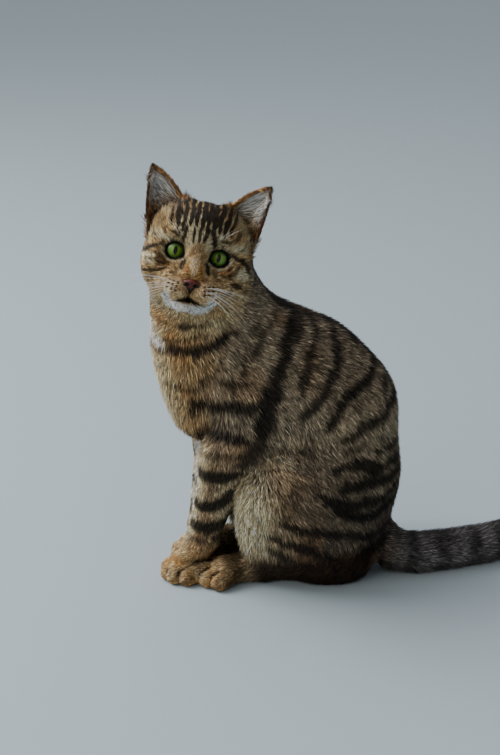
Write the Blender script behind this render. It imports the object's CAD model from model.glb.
# %% [markdown]
# # A sitting tabby cat, life size
#
# A live animal is one skin with hair growing out of it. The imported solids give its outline, out to
# the tips of the coat, as plain faceted pieces. Here the same body is worked out again as a smooth
# field, a skin is drawn inside it by the depth of the coat, and thin tufts are grown from the skin
# along the way the hair lies. Eyes, nose leather, whiskers and claws are pieces of their own.
#
# The solids stay where they are, as the frame. Everything made here rides on them and is measured
# in the same frame: Z up, the body facing -X, its left side towards -Y.

import bpy
import numpy as np
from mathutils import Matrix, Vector


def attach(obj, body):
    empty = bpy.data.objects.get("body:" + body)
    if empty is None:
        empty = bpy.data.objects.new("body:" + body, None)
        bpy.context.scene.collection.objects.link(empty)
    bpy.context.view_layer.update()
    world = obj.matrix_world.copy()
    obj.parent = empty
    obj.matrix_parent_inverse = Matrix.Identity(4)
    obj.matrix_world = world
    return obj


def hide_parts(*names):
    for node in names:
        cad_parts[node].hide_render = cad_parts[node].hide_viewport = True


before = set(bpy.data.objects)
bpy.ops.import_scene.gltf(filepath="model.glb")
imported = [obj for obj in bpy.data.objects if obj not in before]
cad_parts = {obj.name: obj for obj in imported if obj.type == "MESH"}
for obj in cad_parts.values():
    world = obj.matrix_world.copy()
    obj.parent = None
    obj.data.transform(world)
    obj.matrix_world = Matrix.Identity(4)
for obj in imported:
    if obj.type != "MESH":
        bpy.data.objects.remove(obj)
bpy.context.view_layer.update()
MM = 0.001
SEAT_X = 32.0  # shapes are worked out in body millimetres, whose origin is this far before the frame's
rng = np.random.default_rng(422)

# %% [markdown]
# ## The camera
#
# A portrait lens, a little above a cat's own height and a long step away, keeps the proportions
# natural. It is made first so that every later step can be looked at through it. Its height and
# turn are given as angles, as for a portrait.

# %% Camera
AZIMUTH, ELEVATION = -10.0, 20.0  # degrees to the animal's left flank, and above the horizon
CAMERA_AT = (-0.2830, -1.1857, 0.6144)
LENS, FILM = 72.9, 36.0  # mm

camera = bpy.data.objects.new("camera", bpy.data.cameras.new("camera"))
camera.data.sensor_fit = "VERTICAL"
camera.data.sensor_height = FILM
camera.data.lens = LENS
camera.location = CAMERA_AT
camera.rotation_euler = (np.radians(90 - ELEVATION), 0, np.radians(AZIMUTH))
bpy.context.scene.collection.objects.link(camera)
bpy.context.scene.camera = camera
print("camera", CAMERA_AT)

# %% [markdown]
# ## Body sizes
#
# These are the same driving sizes as the solids have, in millimetres: stations along the trunk, the
# joints of each leg, the tail's axis and the forms of the face. The face is symmetric, so its forms
# are given in the head's own frame (across, forward, up) for one side only.

# %% Sizes of the body
TRUNK = [  # x, y, z, half depth, half width, rump to neck
    (32, 0, 42, 48, 57),
    (31, 0, 90, 53, 57),
    (27, 0, 145, 53, 54),
    (-1, 0, 171, 55, 51),
    (-45, 2, 192, 54, 47),
    (-76, -1, 234, 43, 42),
]
LEGS = {  # left is -1, towards -Y
    -1: dict(
        shoulder=(-42, -35, 168), elbow=(-66, -25, 114), wrist=(-84, -6, 36),
        forepaw=(-101, -9), foreturn=28,
        thigh=(2, -39, 84), knee=(-30, -43, 92), heel=(28, -32, 14), instep=(-36, -24, 13),
        hindpaw=(-72, -23), hindturn=16,
    ),
    1: dict(
        shoulder=(-42, 37, 168), elbow=(-63, 31, 114), wrist=(-79, 22, 36),
        forepaw=(-88, 25), foreturn=10,
        thigh=(2, 41, 84), knee=(-30, 45, 92), heel=(30, 38, 14), instep=(-32, 35, 13),
        hindpaw=(-61, 36), hindturn=12,
    ),
}
TOES = ((-1.5, -7), (-0.5, 0), (0.5, 0), (1.5, -6))  # place across the paw in toes, mm set forward
TOE_SPACING = 9.3
TAIL = [  # x, y, z, radius
    (60, -12, 32, 24), (78, -26, 20, 18), (100, -30, 17.5, 17.6), (130, -27, 17, 17.2),
    (164, -21, 16.5, 16.8), (205, -8, 16, 16), (245, 10, 15, 15), (282, 32, 13.3, 13.3),
    (306, 54, 11, 10.5),
]
print(len(TRUNK), "stations on the trunk,", len(TAIL), "on the tail")

# %% Sizes of the head
EYES = np.array((-92.4, -50, 298.7))  # midway between the eyes: the origin of the head's frame
YAW, PITCH, ROLL = -8.0, 15.5, 11.5
FACE = [  # centre, half sizes, fillet; across, forward, up
    ((24, -23, -11), (19.5, 24, 22), 13),  # cheek
    ((0, -13, 10), (27, 17, 22), 11),  # forehead
    ((18, -12, -13), (17, 15, 15), 9),  # cheek bone
    ((12, 3, -25), (13, 14, 11), 8),  # side of the muzzle
    ((8.5, 13, -28), (10.5, 11.5, 8.5), 5),  # whisker pad
    ((0, 5, -39), (11, 12, 8.5), 5),  # chin
    ((0, -15, -27), (26, 23, 17), 12),  # jaw
]
EYE_AT, EYE_RADIUS = np.array((17.4, -8.6, 0.0)), 9.2
EAR_OUTER, EAR_INNER, EAR_TIP = np.array((44.5, 4)), np.array((17.5, 40)), np.array((49.2, 65.5))
print(len(FACE), "forms on the face, the eyes' centres", 2 * EYE_AT[0], "mm apart")

# %% [markdown]
# ## Fields
#
# A field is a function that is negative inside a shape and grows with the distance outside it.
# Tapered bones and ellipsoids have short formulas, and two fields join with a fillet where the
# smaller one wins and a rounded step takes over near the tie. Every function works on a whole array
# of points at once.

# %% Field primitives


def blend(a, b, k):
    """The smaller of two fields, less h*h/(4k) where they differ by less than k, with h = k - difference."""
    h = np.maximum(k - np.abs(a - b), 0)
    return np.minimum(a, b) - h * h / (4 * k)


def cut(a, b, k):
    """The larger of two fields, with the same fillet."""
    return -blend(-a, -b, k)


def bone(p, a, b, ra, rb, wide=1.0):
    """Distance to the segment a-b less a radius from ra to rb; wide stretches the section along Y."""
    a, b = np.asarray(a, float), np.asarray(b, float)
    axis = b - a
    q = p - a
    t = np.clip(q @ axis / (axis @ axis), 0, 1)
    v = q - t[:, None] * axis
    r = ra + (rb - ra) * t
    if wide == 1.0:
        return np.sqrt((v * v).sum(1)) - r
    once = np.sqrt((v * v / (1, wide**2, 1)).sum(1))
    twice = np.sqrt((v * v / (1, wide**4, 1)).sum(1)) + 1e-6
    return (once - r) * once / twice


def ball(p, centre, radii, tilt=0.0):
    """Ellipsoid: k(k-1)/k', k the length of p/radii and k' of p/radii squared; tilt turns it about Y."""
    q = p - np.asarray(centre, float)
    if tilt:
        c, s = np.cos(np.radians(tilt)), np.sin(np.radians(tilt))
        q = np.stack([q[:, 0] * c - q[:, 2] * s, q[:, 1], q[:, 0] * s + q[:, 2] * c], 1)
    q = q / radii
    once = np.sqrt((q * q).sum(1))
    q = q / radii
    return once * (once - 1) / (np.sqrt((q * q).sum(1)) + 1e-9)


print("a bone 2 mm thick, at its own end:", bone(np.zeros((1, 3)), (0, 0, 0), (9, 0, 0), 2, 2)[0])

# %% Smooth steps and unit vectors


def ramp(x, low, high):
    """Smooth step from 0 at low to 1 at high, or down again if high is below low."""
    t = np.clip((x - low) / (high - low), 0, 1)
    return t * t * (3 - 2 * t)


def unit(v):
    """Vectors scaled to length 1."""
    return v / np.maximum(np.sqrt((v * v).sum(-1, keepdims=True)), 1e-9)


print("half-way up a ramp:", ramp(0.5, 0, 1))

# %% [markdown]
# ## The head's frame
#
# The head looks out of the body's left side, tipped up and tilted. All of the face is worked out
# upright in its own frame and only then placed, as a sculptor would work on a stand.

# %% Head frame


def head_axes():
    """Columns across, forward and up: a turn about Z, then a tip upwards, then a tilt about forward."""
    yaw, pitch, roll = np.radians([YAW, PITCH, ROLL])
    forward = np.array([np.sin(yaw) * np.cos(pitch), -np.cos(yaw) * np.cos(pitch), np.sin(pitch)])
    level = np.array([np.cos(yaw), np.sin(yaw), 0])
    upright = np.cross(level, -forward)
    across = np.cos(roll) * level - np.sin(roll) * upright
    return np.stack([across, forward, np.sin(roll) * level + np.cos(roll) * upright], 1)


HEAD = head_axes()


def to_head(p):
    """Body points in the head's frame; across is positive on the cat's left."""
    return (p - EYES) @ HEAD


def from_head(q):
    """Head points back in the body's frame."""
    return EYES + np.asarray(q, float) @ HEAD.T


def folded(p):
    """Head coordinates with across made positive, for forms that are the same on both sides."""
    q = to_head(p)
    return np.stack([np.abs(q[:, 0]), q[:, 1], q[:, 2]], 1)


print("forward", np.round(HEAD[:, 1], 3))

# %% [markdown]
# ## The body as one field
#
# The trunk is a row of tapered sections, the legs are bones with balls of muscle, the tail is a
# chain of short rods. The order of the joins and their fillets are those of the solids, so that the
# coat ends where they do.

# %% Chains, toes and trunk


def chain(p, stations, fillet):
    """Neighbouring stations joined by bones."""
    f = None
    for a, b in zip(stations[:-1], stations[1:]):
        g = bone(p, a[:3], b[:3], a[3], b[3])
        f = g if f is None else blend(f, g, fillet)
    return f


def paw_axes(side, turn):
    """Unit directions ahead of a paw and across it: straight ahead turned outwards by some degrees."""
    a = np.radians(turn)
    return np.array([-np.cos(a), side * np.sin(a), 0]), np.array([np.sin(a), side * np.cos(a), 0])


def toes(p, paw, side, turn):
    """Four short bones fanned before a paw; the outer two are set back."""
    ahead, aside = paw_axes(side, turn)
    f = None
    for place, back in TOES:
        tip = np.array([paw[0], paw[1], 6.7]) + aside * place * TOE_SPACING + ahead * (13 + back)
        root = np.array([paw[0], paw[1], 10.8]) + aside * place * 7.0 + ahead * (back - 2)
        g = bone(p, root, tip, 7.3, 7.3)
        f = g if f is None else blend(f, g, 2.2)
    return f


def trunk_field(p):
    """Sections of the trunk, then the ruff and the breast."""
    f = None
    for a, b in zip(TRUNK[:-1], TRUNK[1:]):
        g = bone(p, a[:3], b[:3], a[3], b[3], (a[4] + b[4]) / (a[3] + b[3]))
        f = g if f is None else blend(f, g, 22)
    f = blend(f, ball(p, (-87, 1, 208), (37, 39, 50)), 20)
    return blend(f, ball(p, (-80, 4, 165), (32, 33, 41)), 22)

# %% [markdown]
# ### Legs
#
# A sitting cat folds its hind legs: the thigh lies against the flank, the shin runs down and
# forward, and the whole foot rests on the floor. The forelegs stand like posts, the shoulder blade
# above them a flat muscle under loose skin. Bones with balls of muscle over them give both, and
# their fillets give the folds of skin between them.

# %% Legs


def hind_leg_field(p, side):
    """Ham, shin, the fold before the knee, the seat and the foot."""
    leg = LEGS[side]
    knee, heel, instep, paw = leg["knee"], leg["heel"], leg["instep"], leg["hindpaw"]
    f = ball(p, leg["thigh"], (60, 27, 58), -20)
    f = blend(f, bone(p, knee, (22, heel[1] * 1.1, 28), 26, 17), 18)
    f = blend(f, ball(p, (-28, knee[1] * 0.75, 56), (32, 18, 42)), 14)
    f = blend(f, ball(p, (24, side * 36, 22), (40, 21, 24)), 12)
    foot = blend(bone(p, heel, instep, 15, 12.5), bone(p, instep, (paw[0] + 6, paw[1], 12), 12.5, 12), 8)
    return blend(f, foot, 10)


def foreleg_field(p, side):
    """Shoulder blade, upper arm, forearm, pastern, ball of the paw and toes."""
    leg = LEGS[side]
    elbow, wrist, paw = np.array(leg["elbow"]), leg["wrist"], leg["forepaw"]
    arm = ball(p, leg["shoulder"], (38, 19, 50), -32)
    arm = blend(arm, bone(p, elbow + (6, side * 6, 14), elbow, 25, 22.5), 22)
    arm = blend(arm, bone(p, elbow, wrist, 21.5, 13.4), 10)
    foot = bone(p, wrist, (paw[0] + 7, paw[1] + 2, 16), 13.4, 12.2)
    foot = blend(foot, ball(p, (paw[0] - 1, paw[1], 11.5), (13.8, 14, 11.5)), 8)
    foot = blend(foot, toes(p, paw, side, leg["foreturn"]), 4)
    return blend(foot, arm, 6)

# %% [markdown]
# ### Head's field
#
# A cat's skull is a short egg, with cheeks, a broad muzzle, a chin and a straight bridge set on it,
# and two shallow orbits. It could be pushed and pulled by hand in sculpt mode. As a row of
# ellipsoids each form keeps a size that can be read, and both halves stay alike.

# %% Head's field


def head_field(p):
    """Skull, the forms of the face, the bridge of the nose, less the orbits."""
    q = folded(p)
    f = ball(q, (0, -34, 7.5), (40.5, 40, 35.5))
    for centre, radii, fillet in FACE:
        f = blend(f, ball(q, centre, radii), fillet)
    f = blend(f, bone(q, (0, -8, 18), (0, 15.5, -16), 12, 7), 9)
    return cut(f, -ball(q, (17.4, 3, 0), (10, 7.5, 9)), 5)


# %% Whole body


def near(p, low, high, part, far=60.0):
    """A part's field inside a box, and a plain large distance elsewhere, which saves most of the work."""
    f = np.full(len(p), far)
    inside = ((p > low) & (p < high)).all(1)
    if inside.any():
        f[inside] = part(p[inside])
    return f


def body_field(p):
    """The whole coat's outer surface, in the order in which the solids join it, without the ears."""
    f = trunk_field(p)
    for side in (-1, 1):
        f = blend(f, near(p, (-110, -100, -20), (110, 100, 190), lambda v: hind_leg_field(v, side)), 14)
    hind = [
        near(p, (-125, -70, -20), (-20, 80, 50), lambda v: toes(v, leg["hindpaw"], s, leg["hindturn"]))
        for s, leg in LEGS.items()
    ]
    f = blend(f, np.minimum(*hind), 6)
    f = blend(f, near(p, (20, -70, -20), (345, 95, 80), lambda v: chain(v, TAIL, 0.5)), 5)
    fore = [near(p, (-150, -85, -20), (20, 90, 250), lambda v: foreleg_field(v, s)) for s in (-1, 1)]
    f = blend(f, blend(*fore, 2), 9)
    f = blend(f, bone(p, (-74, 0, 236), (-86, -14, 276), 43, 42), 20)
    return blend(f, near(p, (-175, -120, 200), (0, 60, 380), head_field), 10)


print("the belly's middle lies %.0f mm deep" % -body_field(np.array([[-20.0, 0, 120]]))[0])

# %% [markdown]
# ## Ears
#
# A cat's ear is a thin sheet of gristle rolled into half a cone. It is worked out as a triangle seen
# from the front, whose depth at each place follows a bow: deepest in the middle near the root, flat
# at the tip. A bit more than a millimetre of skin and short fur lies on each side of it.

# %% Ear field
EAR_MIDDLE = (EAR_OUTER + EAR_INNER) / 2
EAR_LENGTH = np.sqrt(((EAR_TIP - EAR_MIDDLE) ** 2).sum())
EAR_BOW = 14.0  # mm, how deep the hollow is at the root
EAR_HALF = 1.25  # mm, half the thickness


def edge_distance(q, start, end, inner_point, bulge):
    """Distance across and up to a line, positive outside, moved by bulge*4s(1-s) along it."""
    along = (end - start) / np.sqrt(((end - start) ** 2).sum())
    out = np.array([along[1], -along[0]])
    if out @ (inner_point - start) > 0:
        out = -out
    rel = q[:, [0, 2]] - start
    s = np.clip(rel @ along / np.sqrt(((end - start) ** 2).sum()), 0, 1)
    return rel @ out - bulge * 4 * s * (1 - s)


# %% Places on the ear and its field


def ear_places(q):
    """Place across (-1 outer, 1 inner edge) and along (0 root, 1 tip), distances outside both, width."""
    middle = (EAR_OUTER + EAR_INNER + EAR_TIP) / 3
    outer = edge_distance(q, EAR_OUTER - (3.2, 0), EAR_TIP, middle, 2.0)
    inner = edge_distance(q, EAR_INNER, EAR_TIP, middle, 3.0)
    up = EAR_TIP - EAR_MIDDLE
    t = ((q[:, [0, 2]] - EAR_MIDDLE) @ up) / EAR_LENGTH**2
    width = np.maximum(-(outer + inner), 2.0)
    return np.clip((inner - outer) / width, -1, 1), t, outer, inner, width


def ear_bow(t):
    """Depth of the bow: full at the root, falling as (1 - t)^0.8 to nothing at the tip."""
    return EAR_BOW * np.clip(1 - t, 0, 1.2) ** 0.8


def ear_back(s, t):
    """Forward position of the sheet: back towards the tip, bowed as 1 - s*s, the outer edge ahead."""
    return -29 - 6 * t - ear_bow(t) * (1 - s * s) - 4 * s * np.clip(1 - t, 0, 1)


def ear_field(p):
    """Distance to the sheet, less half its thickness, inside the triangle's edges."""
    q = folded(p)
    s, t, outer, inner, width = ear_places(q)
    slope = np.sqrt(1 + (ear_bow(t) * 4 * np.abs(s) / width) ** 2)
    f = np.abs(q[:, 1] - ear_back(s, t)) / slope - EAR_HALF
    f = cut(f, outer, 2.0)
    f = cut(f, inner, 2.0)
    return cut(f, (-t - 0.25) * EAR_LENGTH, 2)


print("ear, mm: %.0f long" % EAR_LENGTH)

# %% [markdown]
# ## How deep the coat is
#
# Hair is a millimetre deep on the muzzle and the toes, three on the skull and the legs, and six or
# more on the trunk and the breast. The skin is the body's field moved in by that depth.

# %% Depth of the coat


def head_share(q):
    """1 on the head, 0 below the throat."""
    reach = np.sqrt(((q - (0, -28, 4)) ** 2 * (1, 0.55, 1)).sum(1))
    return ramp(reach, 84, 52)


def shares(p):
    """How much each point belongs to the head, the forelegs, the feet, the paws and the tail."""
    x, z = p[:, 0], p[:, 2]
    fore = ramp(x, -48, -66) * ramp(z, 150, 112)
    foot = ramp(z, 38, 22) * ramp(x, 62, 50)
    paw = ramp(x, -46, -62) * ramp(z, 40, 26)
    tail = ramp(x, 66, 92) * ramp(z, 62, 46)
    return head_share(folded(p)), fore, foot, paw, tail


def coat_depth(p):
    """Depth of the coat in millimetres."""
    x, z = p[:, 0], p[:, 2]
    q = folded(p)
    head, fore, foot, paw, tail = shares(p)
    d = 6.2 + 1.6 * ramp(x, -50, -85) * ramp(z, 120, 170)
    d = d + (3.0 - d) * fore
    d = d + (3.0 - d) * foot
    d = d + (1.5 - d) * paw
    d = d + (5.6 - 1.8 * ramp(x, 240, 312) - d) * tail
    face = 3.4 - 1.7 * ramp(q[:, 1], -24, -4) - 0.6 * ramp(q[:, 1], 2, 14)
    d = d + (face - d) * head
    return d * (0.25 + 0.75 * ramp(z, 0.5, 7))


print("coat on the flank, mm: %.1f" % coat_depth(np.array([[0.0, -60, 120]]))[0])

# %% [markdown]
# ## The skin
#
# The skin adds what the solids leave out: lids around the eyes, the mouth, the groove below the
# nose. A lid is a shell just outside the eyeball, opened by an almond-shaped prism. The mouth is a
# shallow groove that follows a line on the muzzle.

# %% The skin's field
MOUTH = [(0, -27.0), (0, -33.2), (4.0, -35.9), (9.0, -37.4), (14.0, -35.6), (18.5, -31.5)]
LID_TILT = 8.0  # degrees by which the outer corner of the eye is raised
OPENING = (7.0, 5.9, 6.5)  # half width of the open lids, and their height above and below the middle
SOLE = 0.3  # mm, height of the skin's underside, over which the soles' fur reaches the floor


def curve_distance(v, points):
    """Distance from points of a plane to a chain of segments, and how far along it (0 to 1) that is."""
    best, along = np.full(len(v), 1e9), np.zeros(len(v))
    steps = len(points) - 1
    for i in range(steps):
        a, b = np.array(points[i], float), np.array(points[i + 1], float)
        t = np.clip((v - a) @ (b - a) / ((b - a) @ (b - a)), 0, 1)
        d = np.sqrt(((v - a - t[:, None] * (b - a)) ** 2).sum(1))
        closer = d < best
        best[closer] = d[closer]
        along[closer] = (i + t[closer]) / steps
    return best, along


# %% Lids, mouth and skin


def lid_opening(q):
    """Distance to the almond between the lids, negative inside: two discs' overlap plus the inner corner."""
    e = q - EYE_AT
    c, s = np.cos(np.radians(LID_TILT)), np.sin(np.radians(LID_TILT))
    u, v = e[:, 0] * c + e[:, 2] * s, -e[:, 0] * s + e[:, 2] * c
    wide, above, below = OPENING
    high = np.where(v > 0, above, below)
    disc = (wide * wide + high * high) / (2 * high)
    almond = np.hypot(u, np.abs(v) + disc - high) - disc
    return blend(almond, np.hypot(u + 6.9, v + 1.7) - 1.0, 2.0)


def face_skin(p, f):
    """Adds lids and mouth to a field f at points near the head."""
    q = folded(p)
    from_eye = np.sqrt(((q - EYE_AT) ** 2).sum(1))
    f = blend(f, from_eye - (EYE_RADIUS + 1.35), 3.0)
    f = np.maximum(f, EYE_RADIUS + 0.1 - from_eye)
    opening = np.where(q[:, 1] > EYE_AT[1], lid_opening(q), 20.0)
    f = cut(f, -opening, 0.9)
    d, _ = curve_distance(q[:, [0, 2]], MOUTH)
    return f + 1.7 * np.exp(-((d / 1.05) ** 2)) * ramp(q[:, 1], -2, 5)


def skin_field(p):
    """The body moved in by the coat, with ears, lids and mouth; the floor flattens the soles."""
    f = body_field(p) + coat_depth(p)
    inside = p[:, 2] > 225
    if inside.any():
        h = p[inside]
        g = blend(f[inside], near(h, (-165, -70, 250), (0, 40, 375), ear_field), 7)
        f[inside] = face_skin(h, g)
    return np.maximum(f, SOLE - p[:, 2])


print("lids, mm: %.0f wide, %.1f high" % (2 * OPENING[0], OPENING[1] + OPENING[2]))

# %% [markdown]
# ## From field to mesh
#
# Surface nets lay a grid through the field and put one vertex in each cell that the surface
# crosses, then one square across each grid edge that changes sign. The grid is fine over the face
# and the paws and coarse on the trunk. Only blocks near the surface are worked out in full.

# %% Grid and samples


def ticks(*plan):
    """Grid positions: start, step, start, step, ..., end, each step held until the next start."""
    marks = []
    for i in range(0, len(plan) - 2, 2):
        count = int(round((plan[i + 2] - plan[i]) / plan[i + 1]))
        marks.append(np.linspace(plan[i], plan[i + 2], count, endpoint=False))
    return np.concatenate([*marks, [plan[-1]]])


def in_chunks(field, points, size=250_000):
    """Runs a field over many points, some at a time."""
    return np.concatenate([field(points[i : i + size]) for i in range(0, len(points), size)])


def sample(field, grid, block=5):
    """Field values on the grid: exact in blocks that the surface may cross, a plain sign elsewhere."""
    shape = [len(g) for g in grid]
    corner = [np.unique(np.minimum(np.arange(0, n + block, block), n - 1)) for n in shape]
    coarse_at = [g[c] for g, c in zip(grid, corner)]
    mesh = np.stack(np.meshgrid(*coarse_at, indexing="ij"), -1)
    coarse = in_chunks(field, mesh.reshape(-1, 3)).reshape(mesh.shape[:3])
    size = [np.diff(c) for c in coarse_at]
    reach = np.sqrt(size[0][:, None, None] ** 2 + size[1][None, :, None] ** 2 + size[2][None, None, :] ** 2)
    n = coarse.shape
    at = [coarse[i : n[0] - 1 + i, j : n[1] - 1 + j, k : n[2] - 1 + k] for i, j, k in np.ndindex(2, 2, 2)]
    crossed = (np.min(np.abs(at), 0) < reach * 0.8) | (np.ptp(np.sign(at), 0) > 0)

    def holding(side):
        """The block that holds each grid line; a line on a border counts to the block on one side."""
        return [
            np.clip(np.searchsorted(c, np.arange(m), side) - 1, 0, len(c) - 2)
            for c, m in zip(corner, shape)
        ]

    below, above = holding("right"), holding("left")
    wanted = np.zeros(shape, bool)
    for a, b, c in np.ndindex(2, 2, 2):
        wanted |= crossed[np.ix_((below[0], above[0])[a], (below[1], above[1])[b], (below[2], above[2])[c])]
    values = np.where(coarse[np.ix_(*below)] < 0, -50.0, 50.0)
    index = np.argwhere(wanted)
    values[wanted] = in_chunks(field, np.stack([grid[c][index[:, c]] for c in range(3)], 1))
    return values


# %% Onto the surface


def slope(field, p, h=0.4):
    """Gradient of a field by central differences."""
    g = np.empty_like(p)
    for c in range(3):
        d = np.zeros(3)
        d[c] = h
        g[:, c] = (in_chunks(field, p + d) - in_chunks(field, p - d)) / (2 * h)
    return g


def settle(field, p, rounds=2, limit=1.2):
    """Slides points onto the surface by Newton steps along the gradient."""
    for _ in range(rounds):
        f, g = in_chunks(field, p), slope(field, p)
        step = g * (f / np.maximum((g * g).sum(1), 0.04))[:, None]
        length = np.sqrt((step * step).sum(1, keepdims=True)) + 1e-9
        p = p - step * np.minimum(1, limit / length)
    return p


# %% Surface nets


def surface(field, grid):
    """Vertices and outward squares of the surface where the field is zero."""
    values = sample(field, grid)
    n = np.array(values.shape)
    inside = values < 0
    count = sum(
        inside[i : n[0] - 1 + i, j : n[1] - 1 + j, k : n[2] - 1 + k].astype(np.int8)
        for i, j, k in np.ndindex(2, 2, 2)
    )
    active = (count > 0) & (count < 8)
    cells = np.argwhere(active)
    number = -np.ones(active.shape, int)
    number[active] = np.arange(len(cells))
    total, hits = np.zeros((len(cells), 3)), np.zeros(len(cells))
    for axis in range(3):
        step = np.eye(3, dtype=int)[axis]
        for a, b in np.ndindex(2, 2):
            offset = np.insert(np.array([a, b]), axis, 0)
            start, end = cells + offset, cells + offset + step
            f0, f1 = values[tuple(start.T)], values[tuple(end.T)]
            crossing = (f0 < 0) != (f1 < 0)
            t = np.where(crossing, f0 / (f0 - f1 + 1e-30), 0)[:, None]
            p0 = np.stack([grid[c][start[:, c]] for c in range(3)], 1)
            p1 = np.stack([grid[c][end[:, c]] for c in range(3)], 1)
            total += np.where(crossing[:, None], p0 + (p1 - p0) * t, 0)
            hits += crossing
    quads = []
    for axis in range(3):
        first = tuple(slice(0, n[c] - 1) if c == axis else slice(1, n[c] - 1) for c in range(3))
        second = tuple(slice(1, n[c]) if c == axis else slice(1, n[c] - 1) for c in range(3))
        change = np.argwhere(inside[first] != inside[second])
        g = change + [0 if c == axis else 1 for c in range(3)]
        u, v = np.eye(3, dtype=int)[(axis + 1) % 3], np.eye(3, dtype=int)[(axis + 2) % 3]
        quad = np.stack([number[tuple((g - o).T)] for o in (u + v, v, 0 * u, u)], 1)
        turned = ~inside[first][tuple(change.T)]
        quad[turned] = quad[turned][:, ::-1]
        quads.append(quad)
    return settle(field, total / hits[:, None]), np.concatenate(quads)


# %% Mesh the skin
GRID = (
    ticks(-148, 1.1, -18, 2.6, -6, 4.1, 324),
    ticks(-86, 1.1, -44, 1.6, -20, 1.15, 18, 3.1, 82),
    ticks(-1.2, 1.5, 34, 3.6, 240, 1.05, 322, 1.15, 372),
)
skin_points, skin_quads = surface(skin_field, GRID)
skin_points[skin_points[:, 2] < SOLE + 0.01, 2] = SOLE
print("skin:", len(skin_points), "vertices,", len(skin_quads), "squares")

# %% [markdown]
# ## Markings of a tabby
#
# Each hair of a tabby is banded, which gives the ticked grey-brown ground. Over it lie dark stripes:
# an M on the forehead, lines across the cheeks, necklaces, bars on the legs, broken bands down the
# flanks, and rings on the tail. The throat, the paws and the sides of the nose are warmer, and the
# chin, the lips and the rims of the eyes are pale. A stripe is a line drawn on the side view or on
# the face, with a width, and its edge is roughened by noise so that it breaks up like hair does.
# The skin and the coat both take their colours from this one function.

# %% Colours and noise


def linear(code):
    """An sRGB hex colour as linear values: ((c + 0.055) / 1.055) ** 2.4 above the toe of the curve."""
    c = np.array([int(code[i : i + 2], 16) / 255 for i in (1, 3, 5)])
    return np.where(c <= 0.04045, c / 12.92, ((c + 0.055) / 1.055) ** 2.4)


GROUND = linear("#a39378")  # banded grey-brown hair
GROUND_DARK = linear("#54493c")  # the same along the back
RUST = linear("#8a6239")  # redder hair in patches on the flanks and below the eyes
WARM = linear("#ad7d41")  # ochre of the throat, paws and nose
TAN = linear("#b28d58")  # ground of the face
TAIL_GREY = linear("#75706e")
CREAM = linear("#d8c69c")
SAND = linear("#d3b084")  # whisker pads
NOSE_BRIDGE = linear("#d6b38a")
WHITE = linear("#efe9dd")
STRIPE = linear("#0b0807")  # black-brown
RIM = linear("#070504")  # eye and lip rims
EAR_SKIN = linear("#6b3d2d")
EAR_PALE = linear("#9a8570")  # the same skin towards the tip
EAR_RED = linear("#7c3425")
EAR_EDGE = linear("#9c6f3d")
EAR_HAIR = linear("#f3efe2")
EAR_HAIR_ROOT = linear("#b99d76")
print("black-brown of the stripes, linear:", STRIPE.round(4))

# %% Noise


def noise(p, size, seed):
    """Value noise from -1 to 1: random numbers on a lattice, blended with a smooth step between corners."""
    g = np.asarray(p, float) / size
    cell = np.floor(g).astype(np.int64)
    f = g - cell
    f = f * f * (3 - 2 * f)
    total = np.zeros(len(g))
    for corner in np.ndindex(2, 2, 2):
        k = cell + corner
        h = (k[:, 0] * 73856093) ^ (k[:, 1] * 19349663) ^ (k[:, 2] * 83492791) ^ (seed * 15485863)
        h = (h ^ (h >> 13)) * 1274126177
        h = (h ^ (h >> 16)) & 0xFFFF
        weight = np.prod(np.where(corner, f, 1 - f), 1)
        total += weight * (h / 32767.5 - 1)
    return total


def laid(colour, shade, share):
    """A colour moved towards a shade by a share of 0 to 1 at each point."""
    return colour + (shade - colour) * share[:, None]


print("noise at three points:", noise([[0, 0, 0], [3, 0, 0], [6, 0, 0]], 10, 1).round(2))

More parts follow.
